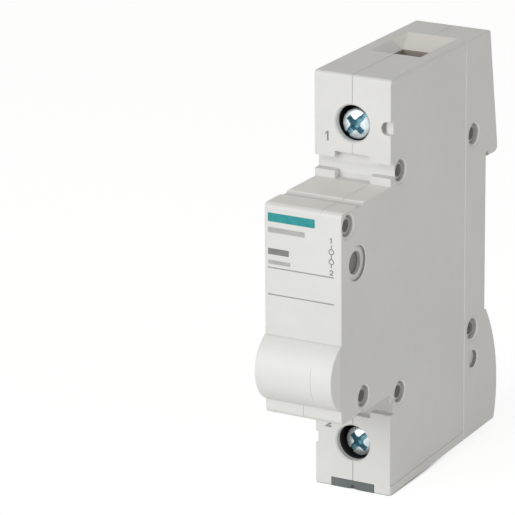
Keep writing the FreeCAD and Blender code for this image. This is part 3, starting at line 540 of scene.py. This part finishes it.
def rear_slope_mask(places):
    """Slope of the funnel behind the wire entry, which looks to the front and gets a painted light:
    a lighter tone.
    """
    return places.all_of([
        places.within("Z", TOP_Z - THROAT_UNDER_TOP, TOP_Z - SLOPE_UNDER_TOP),
        places.within("Y", THROAT_SPAN[1] - SLOPE_LAP, SLOPE_REAR),
        places.within("X", -SLOPE_HALF, SLOPE_HALF)])


# A painted highlight along the step in front of the raised rear strip.
def panel_line_highlight_mask(places):
    return places.all_of([places.close_to("Y", PANEL_LINE_Y, PANEL_LINE_HALF),
                          places.near_sides(PANEL_LINE_DEPTH)])


def bore_painted_shade_mask(places):
    """Deep in the screw holes, behind their lit rims, where a painted shade makes them nearly black.
    """
    bores = [places.inside("XZ", (0.0, height), BORE_RADIUS) for height in hole_heights()]
    depth = places.within("Y", TERMINAL_Y + HOLE_RIM, TERMINAL_Y + BORE_DEPTH)
    return places.all_of([places.any_of(bores), depth])


def slot_end_shade_mask(places):
    """Inner ends of the small open slots in the terminal faces, where a darker tone is painted in as
    shade.
    """
    heights = [places.close_to("Z", height, SLOT_HALF) for height in hole_heights()]
    depth = places.within("Y", TERMINAL_Y + SLOT_DEPTHS[0], TERMINAL_Y + SLOT_DEPTHS[1])
    ends = places.any_of([places.within("X", *RIGHT_SLOT_END), places.within("X", *LEFT_SLOT_END)])
    return places.all_of([places.any_of(heights), depth, ends])


def recess_painted_light_and_shade(places):
    """Masks and tones of the round recesses in the side faces: painted highlights on the bevels,
    painted shade on the floor, the walls and the dark hole.
    """
    coupling = places.distance("YZ", COUPLING_PLACE)
    pin = places.distance("YZ", PIN_PLACE)
    recesses = ((coupling, COUPLING_RIM), (pin, PIN_RIM))
    bevels = places.any_of([places.ring(away, rim, rim + RECESS_BEVEL) for away, rim in recesses])
    walls = places.any_of([places.ring(away, rim - RECESS_WALL_HALF, rim + RECESS_WALL_HALF)
                           for away, rim in recesses])
    floor = places.ring(coupling, COUPLING_RIM - COUPLING_FLOOR_WIDTH, COUPLING_RIM)
    hole = places.graph.math("LESS_THAN", coupling, COUPLING_HOLE)
    sunk = places.all_of([places.below_sides(RECESS_MOUTH), places.near_sides(RECESS_DEPTH)])
    deep = places.all_of([places.below_sides(COUPLING_FLOOR), places.near_sides(RECESS_DEPTH)])
    # painted highlight on the bevels, painted shade on the floor, walls and hole
    return [(places.all_of([bevels, places.near_sides(RECESS_BEVEL_DEPTH)]), RECESS_BEVEL_PAINTED_HIGHLIGHT),
            (places.all_of([floor, sunk]), RECESS_FLOOR_PAINTED_SHADE),
            (places.all_of([walls, sunk]), RECESS_WALL_PAINTED_SHADE),
            (places.all_of([hole, deep]), COUPLING_HOLE_PAINTED_SHADE)]


def housing_plastic():
    graph, shader, made = finished("light_grey_moulding")
    grain = placed(graph, MOULDED_GRAIN)
    places = Places(graph)
    rivets = places.to_rivets()
    bevel_end = SINK_RADIUS + SINK_BEVEL
    clear_seam, faint_seam = seam_masks(places)
    # painted highlight on the rims of the rivets' sinks
    sinks = places.all_of([places.ring(rivets, SINK_RADIUS, bevel_end),
                           places.near_sides(SINK_BEVEL_DEPTH)])
    tones = [
        # painted light on the nose top
        (nose_top_mask(places), NOSE_TOP_PAINTED_LIGHT),
        # painted light on the bulge in front of the label
        (places.under("Y", LABEL_Y - BULGE_BEFORE_LABEL), BULGE_PAINTED_LIGHT),
        # painted light on the funnel's rear slope
        (rear_slope_mask(places), REAR_SLOPE_PAINTED_LIGHT),
        (clear_seam, CLEAR_SEAM_TONE),
        (faint_seam, FAINT_SEAM_TONE),
        # painted shade inside the wire entry
        (throat_mask(places), THROAT_PAINTED_SHADE),
        # painted shade deep in the screw bores
        (bore_painted_shade_mask(places), BORE_PAINTED_SHADE),
        # painted shade at the slots' inner ends
        (slot_end_shade_mask(places), SLOT_END_PAINTED_SHADE),
        # painted highlight on the panel line
        (panel_line_highlight_mask(places), PANEL_LINE_PAINTED_HIGHLIGHT),
        # painted highlight on the sinks' rims
        (sinks, SINK_RIM_PAINTED_HIGHLIGHT),
    ]
    shade = spread(graph, grain["Tone"], 0.0, 1.0)
    colour = graph.mix(shade, srgb(*DARKER_PLASTIC), srgb(*LIGHTER_PLASTIC))
    # the recesses' painted highlights and shade are laid over last
    for mask, tone in tones + recess_painted_light_and_shade(places):
        colour = graph.mix(mask, colour, srgb(*tone))
    graph.tree.links.new(colour, shader["Base Color"])
    graph.tree.links.new(spread(graph, grain["Gloss"], 0.44, 0.56), shader["Roughness"])
    # the sinks' bevels run out softly into the side faces
    fall = graph.add("ShaderNodeMapRange", {
        "Value": rivets, "From Min": bevel_end, "From Max": bevel_end + RIM_FALL}).outputs[0]
    rounded = bump(graph, fall, RIM_BUMP)
    grained = bump(graph, grain["Height"], 0.006 * MM, strength=0.6, base=rounded)
    graph.tree.links.new(grained, shader["Normal"])
    shader["Specular IOR Level"].default_value = 0.42
    return made


def latch_plastic():
    graph, shader, made = finished("slate_grey_moulding")
    grain = placed(graph, MOULDED_GRAIN, Grain_per_metre=7000.0, Flow_per_metre=120.0)
    shade = spread(graph, grain["Tone"], 0.0, 1.0)
    colour = graph.mix(shade, srgb(87, 94, 95), srgb(97, 102, 103))
    graph.tree.links.new(colour, shader["Base Color"])
    graph.tree.links.new(spread(graph, grain["Gloss"], 0.42, 0.58), shader["Roughness"])
    grained = bump(graph, grain["Height"], 0.012 * MM, strength=0.6)
    graph.tree.links.new(grained, shader["Normal"])
    return made


def metal(name, dark, light, roughness, stretch, depth, clouds=500.0, metallic=1.0, inlay=None):
    """A plated, rolled or drawn metal between two tones, with another tone where an inlay says."""
    graph, shader, made = finished(name)
    marks = placed(graph, ROLLED_METAL, Stretch=stretch, Clouds_per_metre=clouds)
    colour = graph.mix(spread(graph, marks["Tone"], 0.0, 1.0), dark, light)
    shader["Metallic"].default_value = metallic
    if inlay:
        mask, tone, own_metallic = inlay(graph)
        colour = graph.mix(mask, colour, tone)
        graph.tree.links.new(graph.math("MULTIPLY_ADD", mask, own_metallic - metallic, metallic),
                             shader["Metallic"])
    graph.tree.links.new(colour, shader["Base Color"])
    graph.tree.links.new(spread(graph, marks["Gloss"], *roughness), shader["Roughness"])
    marked = bump(graph, marks["Height"], depth, strength=0.5)
    graph.tree.links.new(marked, shader["Normal"])
    return made


def ink(name, colour):
    """Pad print: matt, a little uneven in tone."""
    graph, shader, made = finished(name)
    grain = placed(graph, MOULDED_GRAIN, Grain_per_metre=12000.0, Flow_per_metre=700.0)
    paler = tuple(min(1.0, value * 1.25 + 0.01) for value in colour[:3]) + (1.0,)
    uneven = graph.mix(spread(graph, grain["Tone"], 0.0, 1.0), colour, paler)
    graph.tree.links.new(uneven, shader["Base Color"])
    graph.tree.links.new(spread(graph, grain["Gloss"], 0.5, 0.7), shader["Roughness"])
    grained = bump(graph, grain["Height"], 0.004 * MM, strength=0.4)
    graph.tree.links.new(grained, shader["Normal"])
    return made


def screw_recess(graph):
    """Mask, tone and metallic share of a screw's driver recess, where its plating shows bluer."""
    mask = graph.add("ShaderNodeAttribute", attribute_name="recess").outputs["Fac"]
    return mask, srgb(138, 184, 197), 0.5


def rivet_bore_painted_light(graph):
    """Mask, tone and metallic share of the inside of the hollow rivet ends, painted a paler
    non-metal grey that stands in for light in the bore.
    """
    places = Places(graph)
    inside = graph.math("LESS_THAN", places.to_rivets(), RIVET_BORE)
    mask = places.all_of([inside, places.over("X", SIDE_X - RIVET_END)])
    return mask, srgb(166, 166, 161), 0.0


FINISHES = {
    "housing": housing_plastic(),
    "latch_grey": latch_plastic(),
    "screw_zinc": metal(
        "blue_zinc_plating", srgb(206, 219, 225), srgb(240, 246, 248), roughness=(0.2, 0.36),
        stretch=(1.0, 0.3, 1.0), depth=0.01 * MM, clouds=900.0, metallic=0.6, inlay=screw_recess),
    "cage_steel": metal(
        "zinc_plated_strip", srgb(172, 174, 172), srgb(205, 206, 203), roughness=(0.28, 0.42),
        stretch=(0.06, 1.0, 1.0), depth=0.01 * MM),
    # rivets: their hollow ends get a painted light, a paler non-metal grey
    "rivet_steel": metal(
        "rolled_rivet_steel", srgb(140, 139, 134), srgb(184, 183, 178), roughness=(0.34, 0.5),
        stretch=(0.1, 1.0, 1.0), depth=0.012 * MM, clouds=1200.0, metallic=0.55, inlay=rivet_bore_painted_light),
    "copper": metal(
        "bare_copper_strip", srgb(176, 105, 72), srgb(216, 146, 110), roughness=(0.28, 0.45),
        stretch=(1.0, 1.0, 0.05), depth=0.01 * MM),
    "spring_steel": metal(
        "drawn_spring_wire", srgb(150, 151, 152), srgb(196, 197, 198), roughness=(0.2, 0.34),
        stretch=(1.0, 1.0, 1.0), depth=0.006 * MM),
}
DARK_INK = ink("grey_pad_print", srgb(112, 113, 112))
FAINT_INK = ink("pale_grey_pad_print", srgb(140, 141, 139))
TYPE_INK = ink("light_grey_pad_print", srgb(160, 161, 159))
MOULDED_INK = ink("moulded_digit_grey", srgb(128, 128, 126))
TEAL_INK = ink("teal_pad_print", srgb(12, 130, 132))
FIELD_INKS = {"teal_field": TEAL_INK, "type_field": TYPE_INK, "rating_field": DARK_INK,
              "supply_field": TYPE_INK}


def dress_cad_nodes():
    """Gives each solid the finish of its slot in the record."""
    for part in frame["record"]["subparts"]:
        node = frame["nodes"][part["node"]]
        finish = FINISHES[part["material_slot"]]
        if node.material_slots:
            for place in node.material_slots:
                place.material = finish
        else:
            node.data.materials.append(finish)


def mesh_from(shape, name):
    """The mesh of a shape in the making, which ends with it."""
    mesh = bpy.data.meshes.new(name)
    shape.to_mesh(mesh)
    shape.free()
    return mesh


def welded_copy(name):
    """A solid's faces, with the corners that they share joined."""
    shape = bmesh.new()
    shape.from_mesh(frame["nodes"][name].data)
    bmesh.ops.remove_doubles(shape, verts=shape.verts, dist=WELD)
    return shape


def mesh_piece(name, mesh, material, body):
    """Adds a finished mesh as a piece that rides on a body."""
    made = bpy.data.objects.new(name, mesh)
    bpy.context.scene.collection.objects.link(made)
    mesh.materials.clear()
    mesh.materials.append(material)
    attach(made, body)
    return made


def prism(shape, outline, y):
    """Adds a thin printed field to a mesh in the making: its outline in X and Z, its back on y."""
    back = [shape.verts.new((x, y, z)) for x, z in outline]
    front = [shape.verts.new((x, y - INK_LIFT, z)) for x, z in outline]
    shape.faces.new(front)
    shape.faces.new(list(reversed(back)))
    for place in range(len(outline)):
        after = (place + 1) % len(outline)
        shape.faces.new((front[place], back[place], back[after], front[after]))


def bar(left, low, right, high, rounding=0.0):
    """Outline of a bar with rounded corners, anticlockwise seen from the front."""
    if rounding == 0.0:
        return [(left, low), (right, low), (right, high), (left, high)]
    corners = [(right - rounding, low + rounding, -90), (right - rounding, high - rounding, 0),
               (left + rounding, high - rounding, 90), (left + rounding, low + rounding, 180)]
    outline = []
    for x, z, start in corners:
        for step in range(CORNER_STEPS + 1):
            angle = math.radians(start + 90 * step / CORNER_STEPS)
            outline.append((x + rounding * math.cos(angle), z + rounding * math.sin(angle)))
    return outline


def printed(name, outlines, material, y=LABEL_Y):
    """Print on the label face, or on another face that looks to the front."""
    shape = bmesh.new()
    for outline in outlines:
        prism(shape, outline, y)
    bmesh.ops.recalc_face_normals(shape, faces=shape.faces)
    return mesh_piece(name, mesh_from(shape, name), material, "root")


def ribbon(path, width):
    """Outline of a line of even width along a path, with mitred bends and square ends."""
    left = []
    right = []
    for place, point in enumerate(path):
        before = path[max(place - 1, 0)]
        after = path[min(place + 1, len(path) - 1)]
        sides = []
        for start, end in ((before, point), (point, after)):
            run = Vector((end[0] - start[0], end[1] - start[1]))
            if run.length > 0:
                sides.append(Vector((-run.y, run.x)).normalized())
        normal = sum(sides, Vector((0.0, 0.0))).normalized()
        reach = width / 2 / max(0.4, normal.dot(sides[0]))
        left.append((point[0] + normal.x * reach, point[1] + normal.y * reach))
        right.append((point[0] - normal.x * reach, point[1] - normal.y * reach))
    return right + left[::-1]


def digit_outline(character, x, z, height, stroke):
    """Outline of a plain 1 or 2 of the given height, its middle on a place."""
    half = height / 2
    reach = height * DIGIT_REACH
    if character == "1":
        flag_tip = half - reach * FLAG_FALL
        shape = [(stroke / 2, -half), (stroke / 2, half), (-stroke * FLAG_START, half),
                 (-reach, flag_tip), (-reach, flag_tip - stroke),
                 (-stroke / 2, half - stroke * FLAG_ROOT), (-stroke / 2, -half)]
        return [(x + u, z + v) for u, v in shape]
    top = half - reach - stroke / 2
    path = [(reach * math.cos(math.radians(angle)), top + reach * math.sin(math.radians(angle)))
            for angle in ARC_DEGREES]
    path += [(-reach, -half + stroke / 2), (reach * FOOT_REACH, -half + stroke / 2)]
    return [(x + u, z + v) for u, v in ribbon(path, stroke)]


def geometry_group(name, inputs):
    tree_inputs = {"Geometry": ("NodeSocketGeometry", None), **inputs}
    return new_group(name, "GeometryNodeTree", tree_inputs, {"Geometry": "NodeSocketGeometry"})


def grown(name, tree, values, points=()):
    """The plain mesh that a node tree makes from some points, with its inputs set by name."""
    start = bpy.data.meshes.new(name + "_points")
    start.from_pydata([tuple(point) for point in points], [], [])
    holder = bpy.data.objects.new(name + "_grown", start)
    bpy.context.scene.collection.objects.link(holder)
    modifier = holder.modifiers.new("made", "NODES")
    modifier.node_group = tree
    sockets = {item.name: item.identifier for item in tree.interface.items_tree
               if item.item_type == "SOCKET" and item.in_out == "INPUT"}
    for key, value in values.items():
        modifier[sockets[key]] = value
    bpy.context.view_layer.update()
    evaluated = holder.evaluated_get(bpy.context.evaluated_depsgraph_get())
    mesh = bpy.data.meshes.new_from_object(evaluated)
    mesh.name = name
    bpy.data.objects.remove(holder)
    return mesh


def rings_tree():
    """A ring of round wire at each given point."""
    graph, given, result = geometry_group("rings_on_points", {
        "Radius": ("NodeSocketFloat", RING_RADIUS),
        "Wire": ("NodeSocketFloat", LINE_WIDTH / 2),
        "Turn": ("NodeSocketVector", (0.0, 0.0, 0.0)),
        "Finish": ("NodeSocketMaterial", None),
    })
    circle = "GeometryNodeCurvePrimitiveCircle"
    ring = graph.add(circle, {"Resolution": RING_STEPS, "Radius": given["Radius"]})
    wire = graph.add(circle, {"Resolution": WIRE_STEPS, "Radius": given["Wire"]})
    tube = graph.add("GeometryNodeCurveToMesh", {
        "Curve": ring.outputs[0], "Profile Curve": wire.outputs[0]})
    smooth = graph.add("GeometryNodeSetShadeSmooth", {0: tube.outputs[0]})
    copies = graph.add("GeometryNodeInstanceOnPoints", {
        "Points": given["Geometry"], "Instance": smooth.outputs[0], "Rotation": given["Turn"]})
    real = graph.add("GeometryNodeRealizeInstances", {"Geometry": copies.outputs[0]})
    painted = graph.add("GeometryNodeSetMaterial", {
        "Geometry": real.outputs[0], "Material": given["Finish"]})
    graph.tree.links.new(painted.outputs[0], result["Geometry"])
    return graph.tree


def thread_tree():
    """A threaded shank along Y with a bevelled start and the plain dog that pushes the plate."""
    graph, given, result = geometry_group("threaded_shank", {
        "Length": ("NodeSocketFloat", THREAD_LENGTH),
        "Major radius": ("NodeSocketFloat", THREAD_RADIUS),
        "Depth": ("NodeSocketFloat", THREAD_DEPTH),
        "Pitch": ("NodeSocketFloat", THREAD_PITCH),
        "Dog radius": ("NodeSocketFloat", DOG_RADIUS),
        "Dog length": ("NodeSocketFloat", DOG_LENGTH),
        "Rings": ("NodeSocketInt", THREAD_RINGS),
        "Finish": ("NodeSocketMaterial", None),
    })
    whole = graph.math("ADD", given["Length"], given["Dog length"])
    tube = graph.add("GeometryNodeMeshCylinder", {
        "Vertices": THREAD_SIDES, "Side Segments": given["Rings"], "Radius": 1.0, "Depth": whole})
    position = graph.add("GeometryNodeInputPosition").outputs[0]
    place = graph.add("ShaderNodeSeparateXYZ", {0: position}).outputs
    along = graph.math("ADD", place[2], graph.math("MULTIPLY", whole, 0.5))
    angle = graph.math("DIVIDE", graph.math("ARCTAN2", place[1], place[0]), 2 * math.pi)
    # whole turns are added, so that the turns are above zero all round
    turns = graph.math("FRACT", graph.math("ADD", graph.math("DIVIDE", along, given["Pitch"]),
                                           graph.math("SUBTRACT", WHOLE_TURNS, angle)))
    flank = graph.math("ABSOLUTE", graph.math("MULTIPLY_ADD", turns, 2.0, -1.0))
    tooth = graph.math("MINIMUM", graph.math("MULTIPLY", flank, FLANK_STEEPNESS), 1.0)
    # the thread runs out towards the head and into a bevel before the dog
    to_end = graph.math("SUBTRACT", given["Length"], along)
    run_out = graph.math("MINIMUM", graph.math("DIVIDE", along, given["Pitch"]), 1.0)
    groove = graph.math("MULTIPLY", graph.math("MULTIPLY", given["Depth"], run_out),
                        graph.math("SUBTRACT", 1.0, tooth))
    shank = graph.math("SUBTRACT", given["Major radius"], groove)
    bevel = graph.math("MINIMUM", shank, graph.math("ADD", given["Dog radius"],
                                                    graph.math("ADD", to_end, DOG_BEVEL)))
    is_dog = graph.math("LESS_THAN", to_end, 0.0)
    radius = graph.math("ADD", graph.math("MULTIPLY", bevel, graph.math("SUBTRACT", 1.0, is_dog)),
                        graph.math("MULTIPLY", given["Dog radius"], is_dog))
    # the middles of the cylinder's ends stay on the axis
    on_side = graph.math("GREATER_THAN", graph.math("ADD", graph.math("POWER", place[0], 2.0),
                                                    graph.math("POWER", place[1], 2.0)), 0.5)
    scale = graph.math("MULTIPLY", radius, on_side)
    # the cylinder's own Z becomes the screw's +Y
    across = [graph.math("MULTIPLY", place[axis], scale) for axis in (1, 0)]
    moved = graph.add("ShaderNodeCombineXYZ", {0: across[0], 1: along, 2: across[1]})
    shaped = graph.add("GeometryNodeSetPosition", {
        "Geometry": tube.outputs[0], "Position": moved.outputs[0]})
    painted = graph.add("GeometryNodeSetMaterial", {
        "Geometry": shaped.outputs[0], "Material": given["Finish"]})
    graph.tree.links.new(painted.outputs[0], result["Geometry"])
    return graph.tree


def add_symbol():
    """Two rings on one straight line between a 1 and a 2."""
    half = LINE_WIDTH / 2
    stops = [DIGIT_HEIGHTS["1"] - DIGIT_GAP]
    for height in RING_HEIGHTS:
        stops += [height + RING_RADIUS, height - RING_RADIUS]
    stops.append(DIGIT_HEIGHTS["2"] + DIGIT_GAP)
    strokes = [bar(SYMBOL_X - half, low, SYMBOL_X + half, high)
               for high, low in zip(stops[0::2], stops[1::2])]
    printed("symbol_strokes", strokes, DARK_INK)
    rings = grown("symbol_rings", rings_tree(), {
        "Radius": RING_RADIUS, "Wire": half, "Turn": (math.pi / 2, 0.0, 0.0), "Finish": DARK_INK,
    }, [(SYMBOL_X, LABEL_Y, z) for z in RING_HEIGHTS])
    flatten_on_label(rings)
    mesh_piece("symbol_rings", rings, DARK_INK, "root")
    for character, z in DIGIT_HEIGHTS.items():
        outline = digit_outline(character, SYMBOL_X, z, DIGIT_SIZE, DIGIT_STROKE)
        printed(f"symbol_digit_{character}", [outline], DARK_INK)


def add_print():
    """Rules, symbol and colour fields on the label, and a digit at each terminal."""
    rules = [bar(RULE_SPAN[0], z - RULE_WIDTH / 2, RULE_SPAN[1], z + RULE_WIDTH / 2)
             for z in RULE_HEIGHTS]
    printed("label_rules", rules, FAINT_INK)
    add_symbol()
    for name, (right, low, high, rounding) in FIELDS.items():
        printed(name, [bar(FIELD_LEFT, low, right, high, rounding)], FIELD_INKS[name])
    for word, character in MOULDED_DIGITS.items():
        axis_z = sum(corner.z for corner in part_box(f"{word}_terminal_screw")) / 2
        z = axis_z + MOULDED_OVER_SCREW[word]
        outline = digit_outline(character, MOULDED_X[word], z, MOULDED_SIZE, MOULDED_STROKE)
        printed(f"{word}_terminal_digit", [outline], MOULDED_INK, TERMINAL_Y)


def flatten_on_label(mesh):
    """Presses a piece of print flat on the label face."""
    for vertex in mesh.vertices:
        behind = max(-1.0, min(1.0, (vertex.co.y - LABEL_Y) / LINE_WIDTH))
        vertex.co.y = LABEL_Y - INK_LIFT * (0.5 - 0.5 * behind)


def clear_recess(shape, crown, axis_z):
    """Takes the thin skin off the driver recess and marks the recess's faces."""
    layer = shape.faces.layers.float.new("recess")
    skin = []
    for face in shape.faces:
        centre = face.calc_center_median()
        away = math.hypot(centre.x, centre.z - axis_z)
        sunk = centre.y - crown
        if away < SKIN_RADIUS and sunk < SKIN_DEPTH:
            skin.append(face)
        elif away < HEAD_RADIUS - HEAD_EDGE and sunk < RECESS_REACH:
            face[layer] = 1.0 if face.normal.y > DOME_SLOPE or sunk > UNDER_DOME else 0.0
    bmesh.ops.delete(shape, geom=skin, context="FACES")


def add_threaded_screws():
    """Replaces each terminal screw by the same head on a shank with its thread."""
    tree = thread_tree()
    turn = Matrix.Rotation(HEAD_TURN, 3, "Y")
    for word in TERMINALS:
        node = frame["nodes"][f"{word}_terminal_screw"]
        low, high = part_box(node.name)
        axis_z = (low.z + high.z) / 2
        shank_start = low.y + HEAD_LENGTH - SHANK_LAP
        shape = welded_copy(node.name)
        bmesh.ops.rotate(shape, verts=shape.verts, cent=(0, 0, axis_z), matrix=turn)
        cut = bmesh.ops.bisect_plane(
            shape, geom=shape.verts[:] + shape.edges[:] + shape.faces[:], dist=CUT_REACH,
            plane_co=(0, shank_start + CUT_PAST_SHANK, 0), plane_no=(0, 1, 0), clear_outer=True)
        rim = [item for item in cut["geom_cut"] if isinstance(item, bmesh.types.BMEdge)]
        bmesh.ops.contextual_create(shape, geom=rim)
        shank = grown(f"{word}_shank", tree, {
            "Length": high.y - DOG_LENGTH - shank_start, "Finish": FINISHES["screw_zinc"]})
        shank.transform(Matrix.Translation((0, shank_start, axis_z)))
        shape.from_mesh(shank)
        bpy.data.meshes.remove(shank)
        shape.normal_update()
        clear_recess(shape, low.y, axis_z)
        name = f"{word}_screw_threaded"
        made = mesh_piece(name, mesh_from(shape, name), FINISHES["screw_zinc"], f"{word}_screw")
        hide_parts(node.name)


def add_closing_spring():
    """Replaces the latch spring by the same coil, welded and shaded smooth, on its own mesh."""
    shape = welded_copy("latch_spring")
    for face in shape.faces:
        face.smooth = True
    mesh = mesh_from(shape, "latch_spring_coil")
    coil = mesh_piece("latch_spring_coil", mesh, FINISHES["spring_steel"], "root")
    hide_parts("latch_spring")
    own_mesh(coil)


def studio_white():
    """The floor's finish: it shows white, keeps the part's shadow, and has a painted shade in the
    narrow gaps under the part.
    """
    made = bpy.data.materials.new("studio_white")
    made.use_nodes = True
    made.node_tree.nodes.clear()
    graph = Graph(made.node_tree)
    seen = seen_rays(graph)
    bounce = graph.add("ShaderNodeBsdfDiffuse", {"Color": FLOOR_BOUNCE}).outputs[0]
    shaded = graph.add("ShaderNodeBsdfDiffuse", {"Color": FLOOR_SHADE}).outputs[0]
    # painted shade: ambient occlusion dims the floor's white glow in the narrow gaps between the
    # part and the floor
    open_air = graph.add("ShaderNodeAmbientOcclusion", {"Distance": CONTACT_REACH}, samples=16)
    glow = graph.add("ShaderNodeMapRange", {
        "Value": open_air.outputs["AO"], "From Min": CONTACT_OPENING[0],
        "From Max": CONTACT_OPENING[1], "To Min": FLOOR_GLOW[0], "To Max": FLOOR_GLOW[1]}).outputs[0]
    lit = graph.add("ShaderNodeEmission", {"Color": (1, 1, 1, 1), "Strength": glow}).outputs[0]
    both = graph.add("ShaderNodeAddShader", {0: shaded, 1: lit}).outputs[0]
    mixed = graph.add("ShaderNodeMixShader", {0: seen, 1: bounce, 2: both})
    graph.add("ShaderNodeOutputMaterial", {"Surface": mixed.outputs[0]})
    return made


def add_stage():
    """A pale floor under the part."""
    shape = bmesh.new()
    bmesh.ops.create_circle(shape, cap_ends=True, segments=FLOOR_SIDES, radius=FLOOR_RADIUS)
    mesh = mesh_from(shape, "studio_floor")
    mesh.transform(Matrix.Translation((0, 0, BOTTOM_Z)))
    mesh.materials.append(studio_white())
    floor = bpy.data.objects.new("studio_floor", mesh)
    bpy.context.scene.collection.objects.link(floor)


def seen_rays(graph):
    """1 for rays that show the surround itself: camera, mirror and see-through rays."""
    path = graph.add("ShaderNodeLightPath").outputs
    first = graph.math("MAXIMUM", path["Is Camera Ray"], path["Is Glossy Ray"])
    return graph.math("MAXIMUM", first, path["Is Transmission Ray"])


def add_light():
    world = bpy.data.worlds.new("studio")
    bpy.context.scene.world = world
    world.use_nodes = True
    world.node_tree.nodes.clear()
    graph = Graph(world.node_tree)
    seen = seen_rays(graph)
    strength = graph.math("MULTIPLY_ADD", seen, 1.0 - SKY, SKY)
    tint = graph.mix(seen, SKY_TINT, (1, 1, 1, 1))
    back = graph.add("ShaderNodeBackground", {"Color": tint, "Strength": strength})
    graph.add("ShaderNodeOutputWorld", {"Surface": back.outputs[0]})
    for name, place, size, power, tint in LAMPS:
        light = bpy.data.lights.new(name, "AREA")
        light.shape = "DISK"
        light.size = size
        light.energy = power
        light.color = tint
        lamp = bpy.data.objects.new(name, light)
        lamp.location = place
        lamp.rotation_euler = (-Vector(place)).to_track_quat("-Z", "Y").to_euler()
        bpy.context.scene.collection.objects.link(lamp)


def add_camera():
    forward = Vector((-math.sin(CAMERA_YAW) * math.cos(CAMERA_PITCH),
                      math.cos(CAMERA_YAW) * math.cos(CAMERA_PITCH), -math.sin(CAMERA_PITCH)))
    level = Vector((math.cos(CAMERA_YAW), math.sin(CAMERA_YAW), 0))
    upright = level.cross(forward)
    right = math.cos(CAMERA_ROLL) * level + math.sin(CAMERA_ROLL) * upright
    up = math.cos(CAMERA_ROLL) * upright - math.sin(CAMERA_ROLL) * level
    lens = bpy.data.cameras.new("photo_camera")
    lens.sensor_width = SENSOR_WIDTH
    lens.lens = CAMERA_LENS
    lens.clip_start = CLIP_START
    camera = bpy.data.objects.new("photo_camera", lens)
    turned = Matrix((right, up, -forward)).transposed().to_4x4()
    camera.matrix_world = Matrix.Translation(CAMERA_PLACE) @ turned
    bpy.context.scene.collection.objects.link(camera)
    bpy.context.scene.camera = camera


dress_cad_nodes()
add_print()
add_threaded_screws()
add_closing_spring()
add_stage()
add_light()
add_camera()
bpy.context.scene.view_settings.view_transform = "Standard"
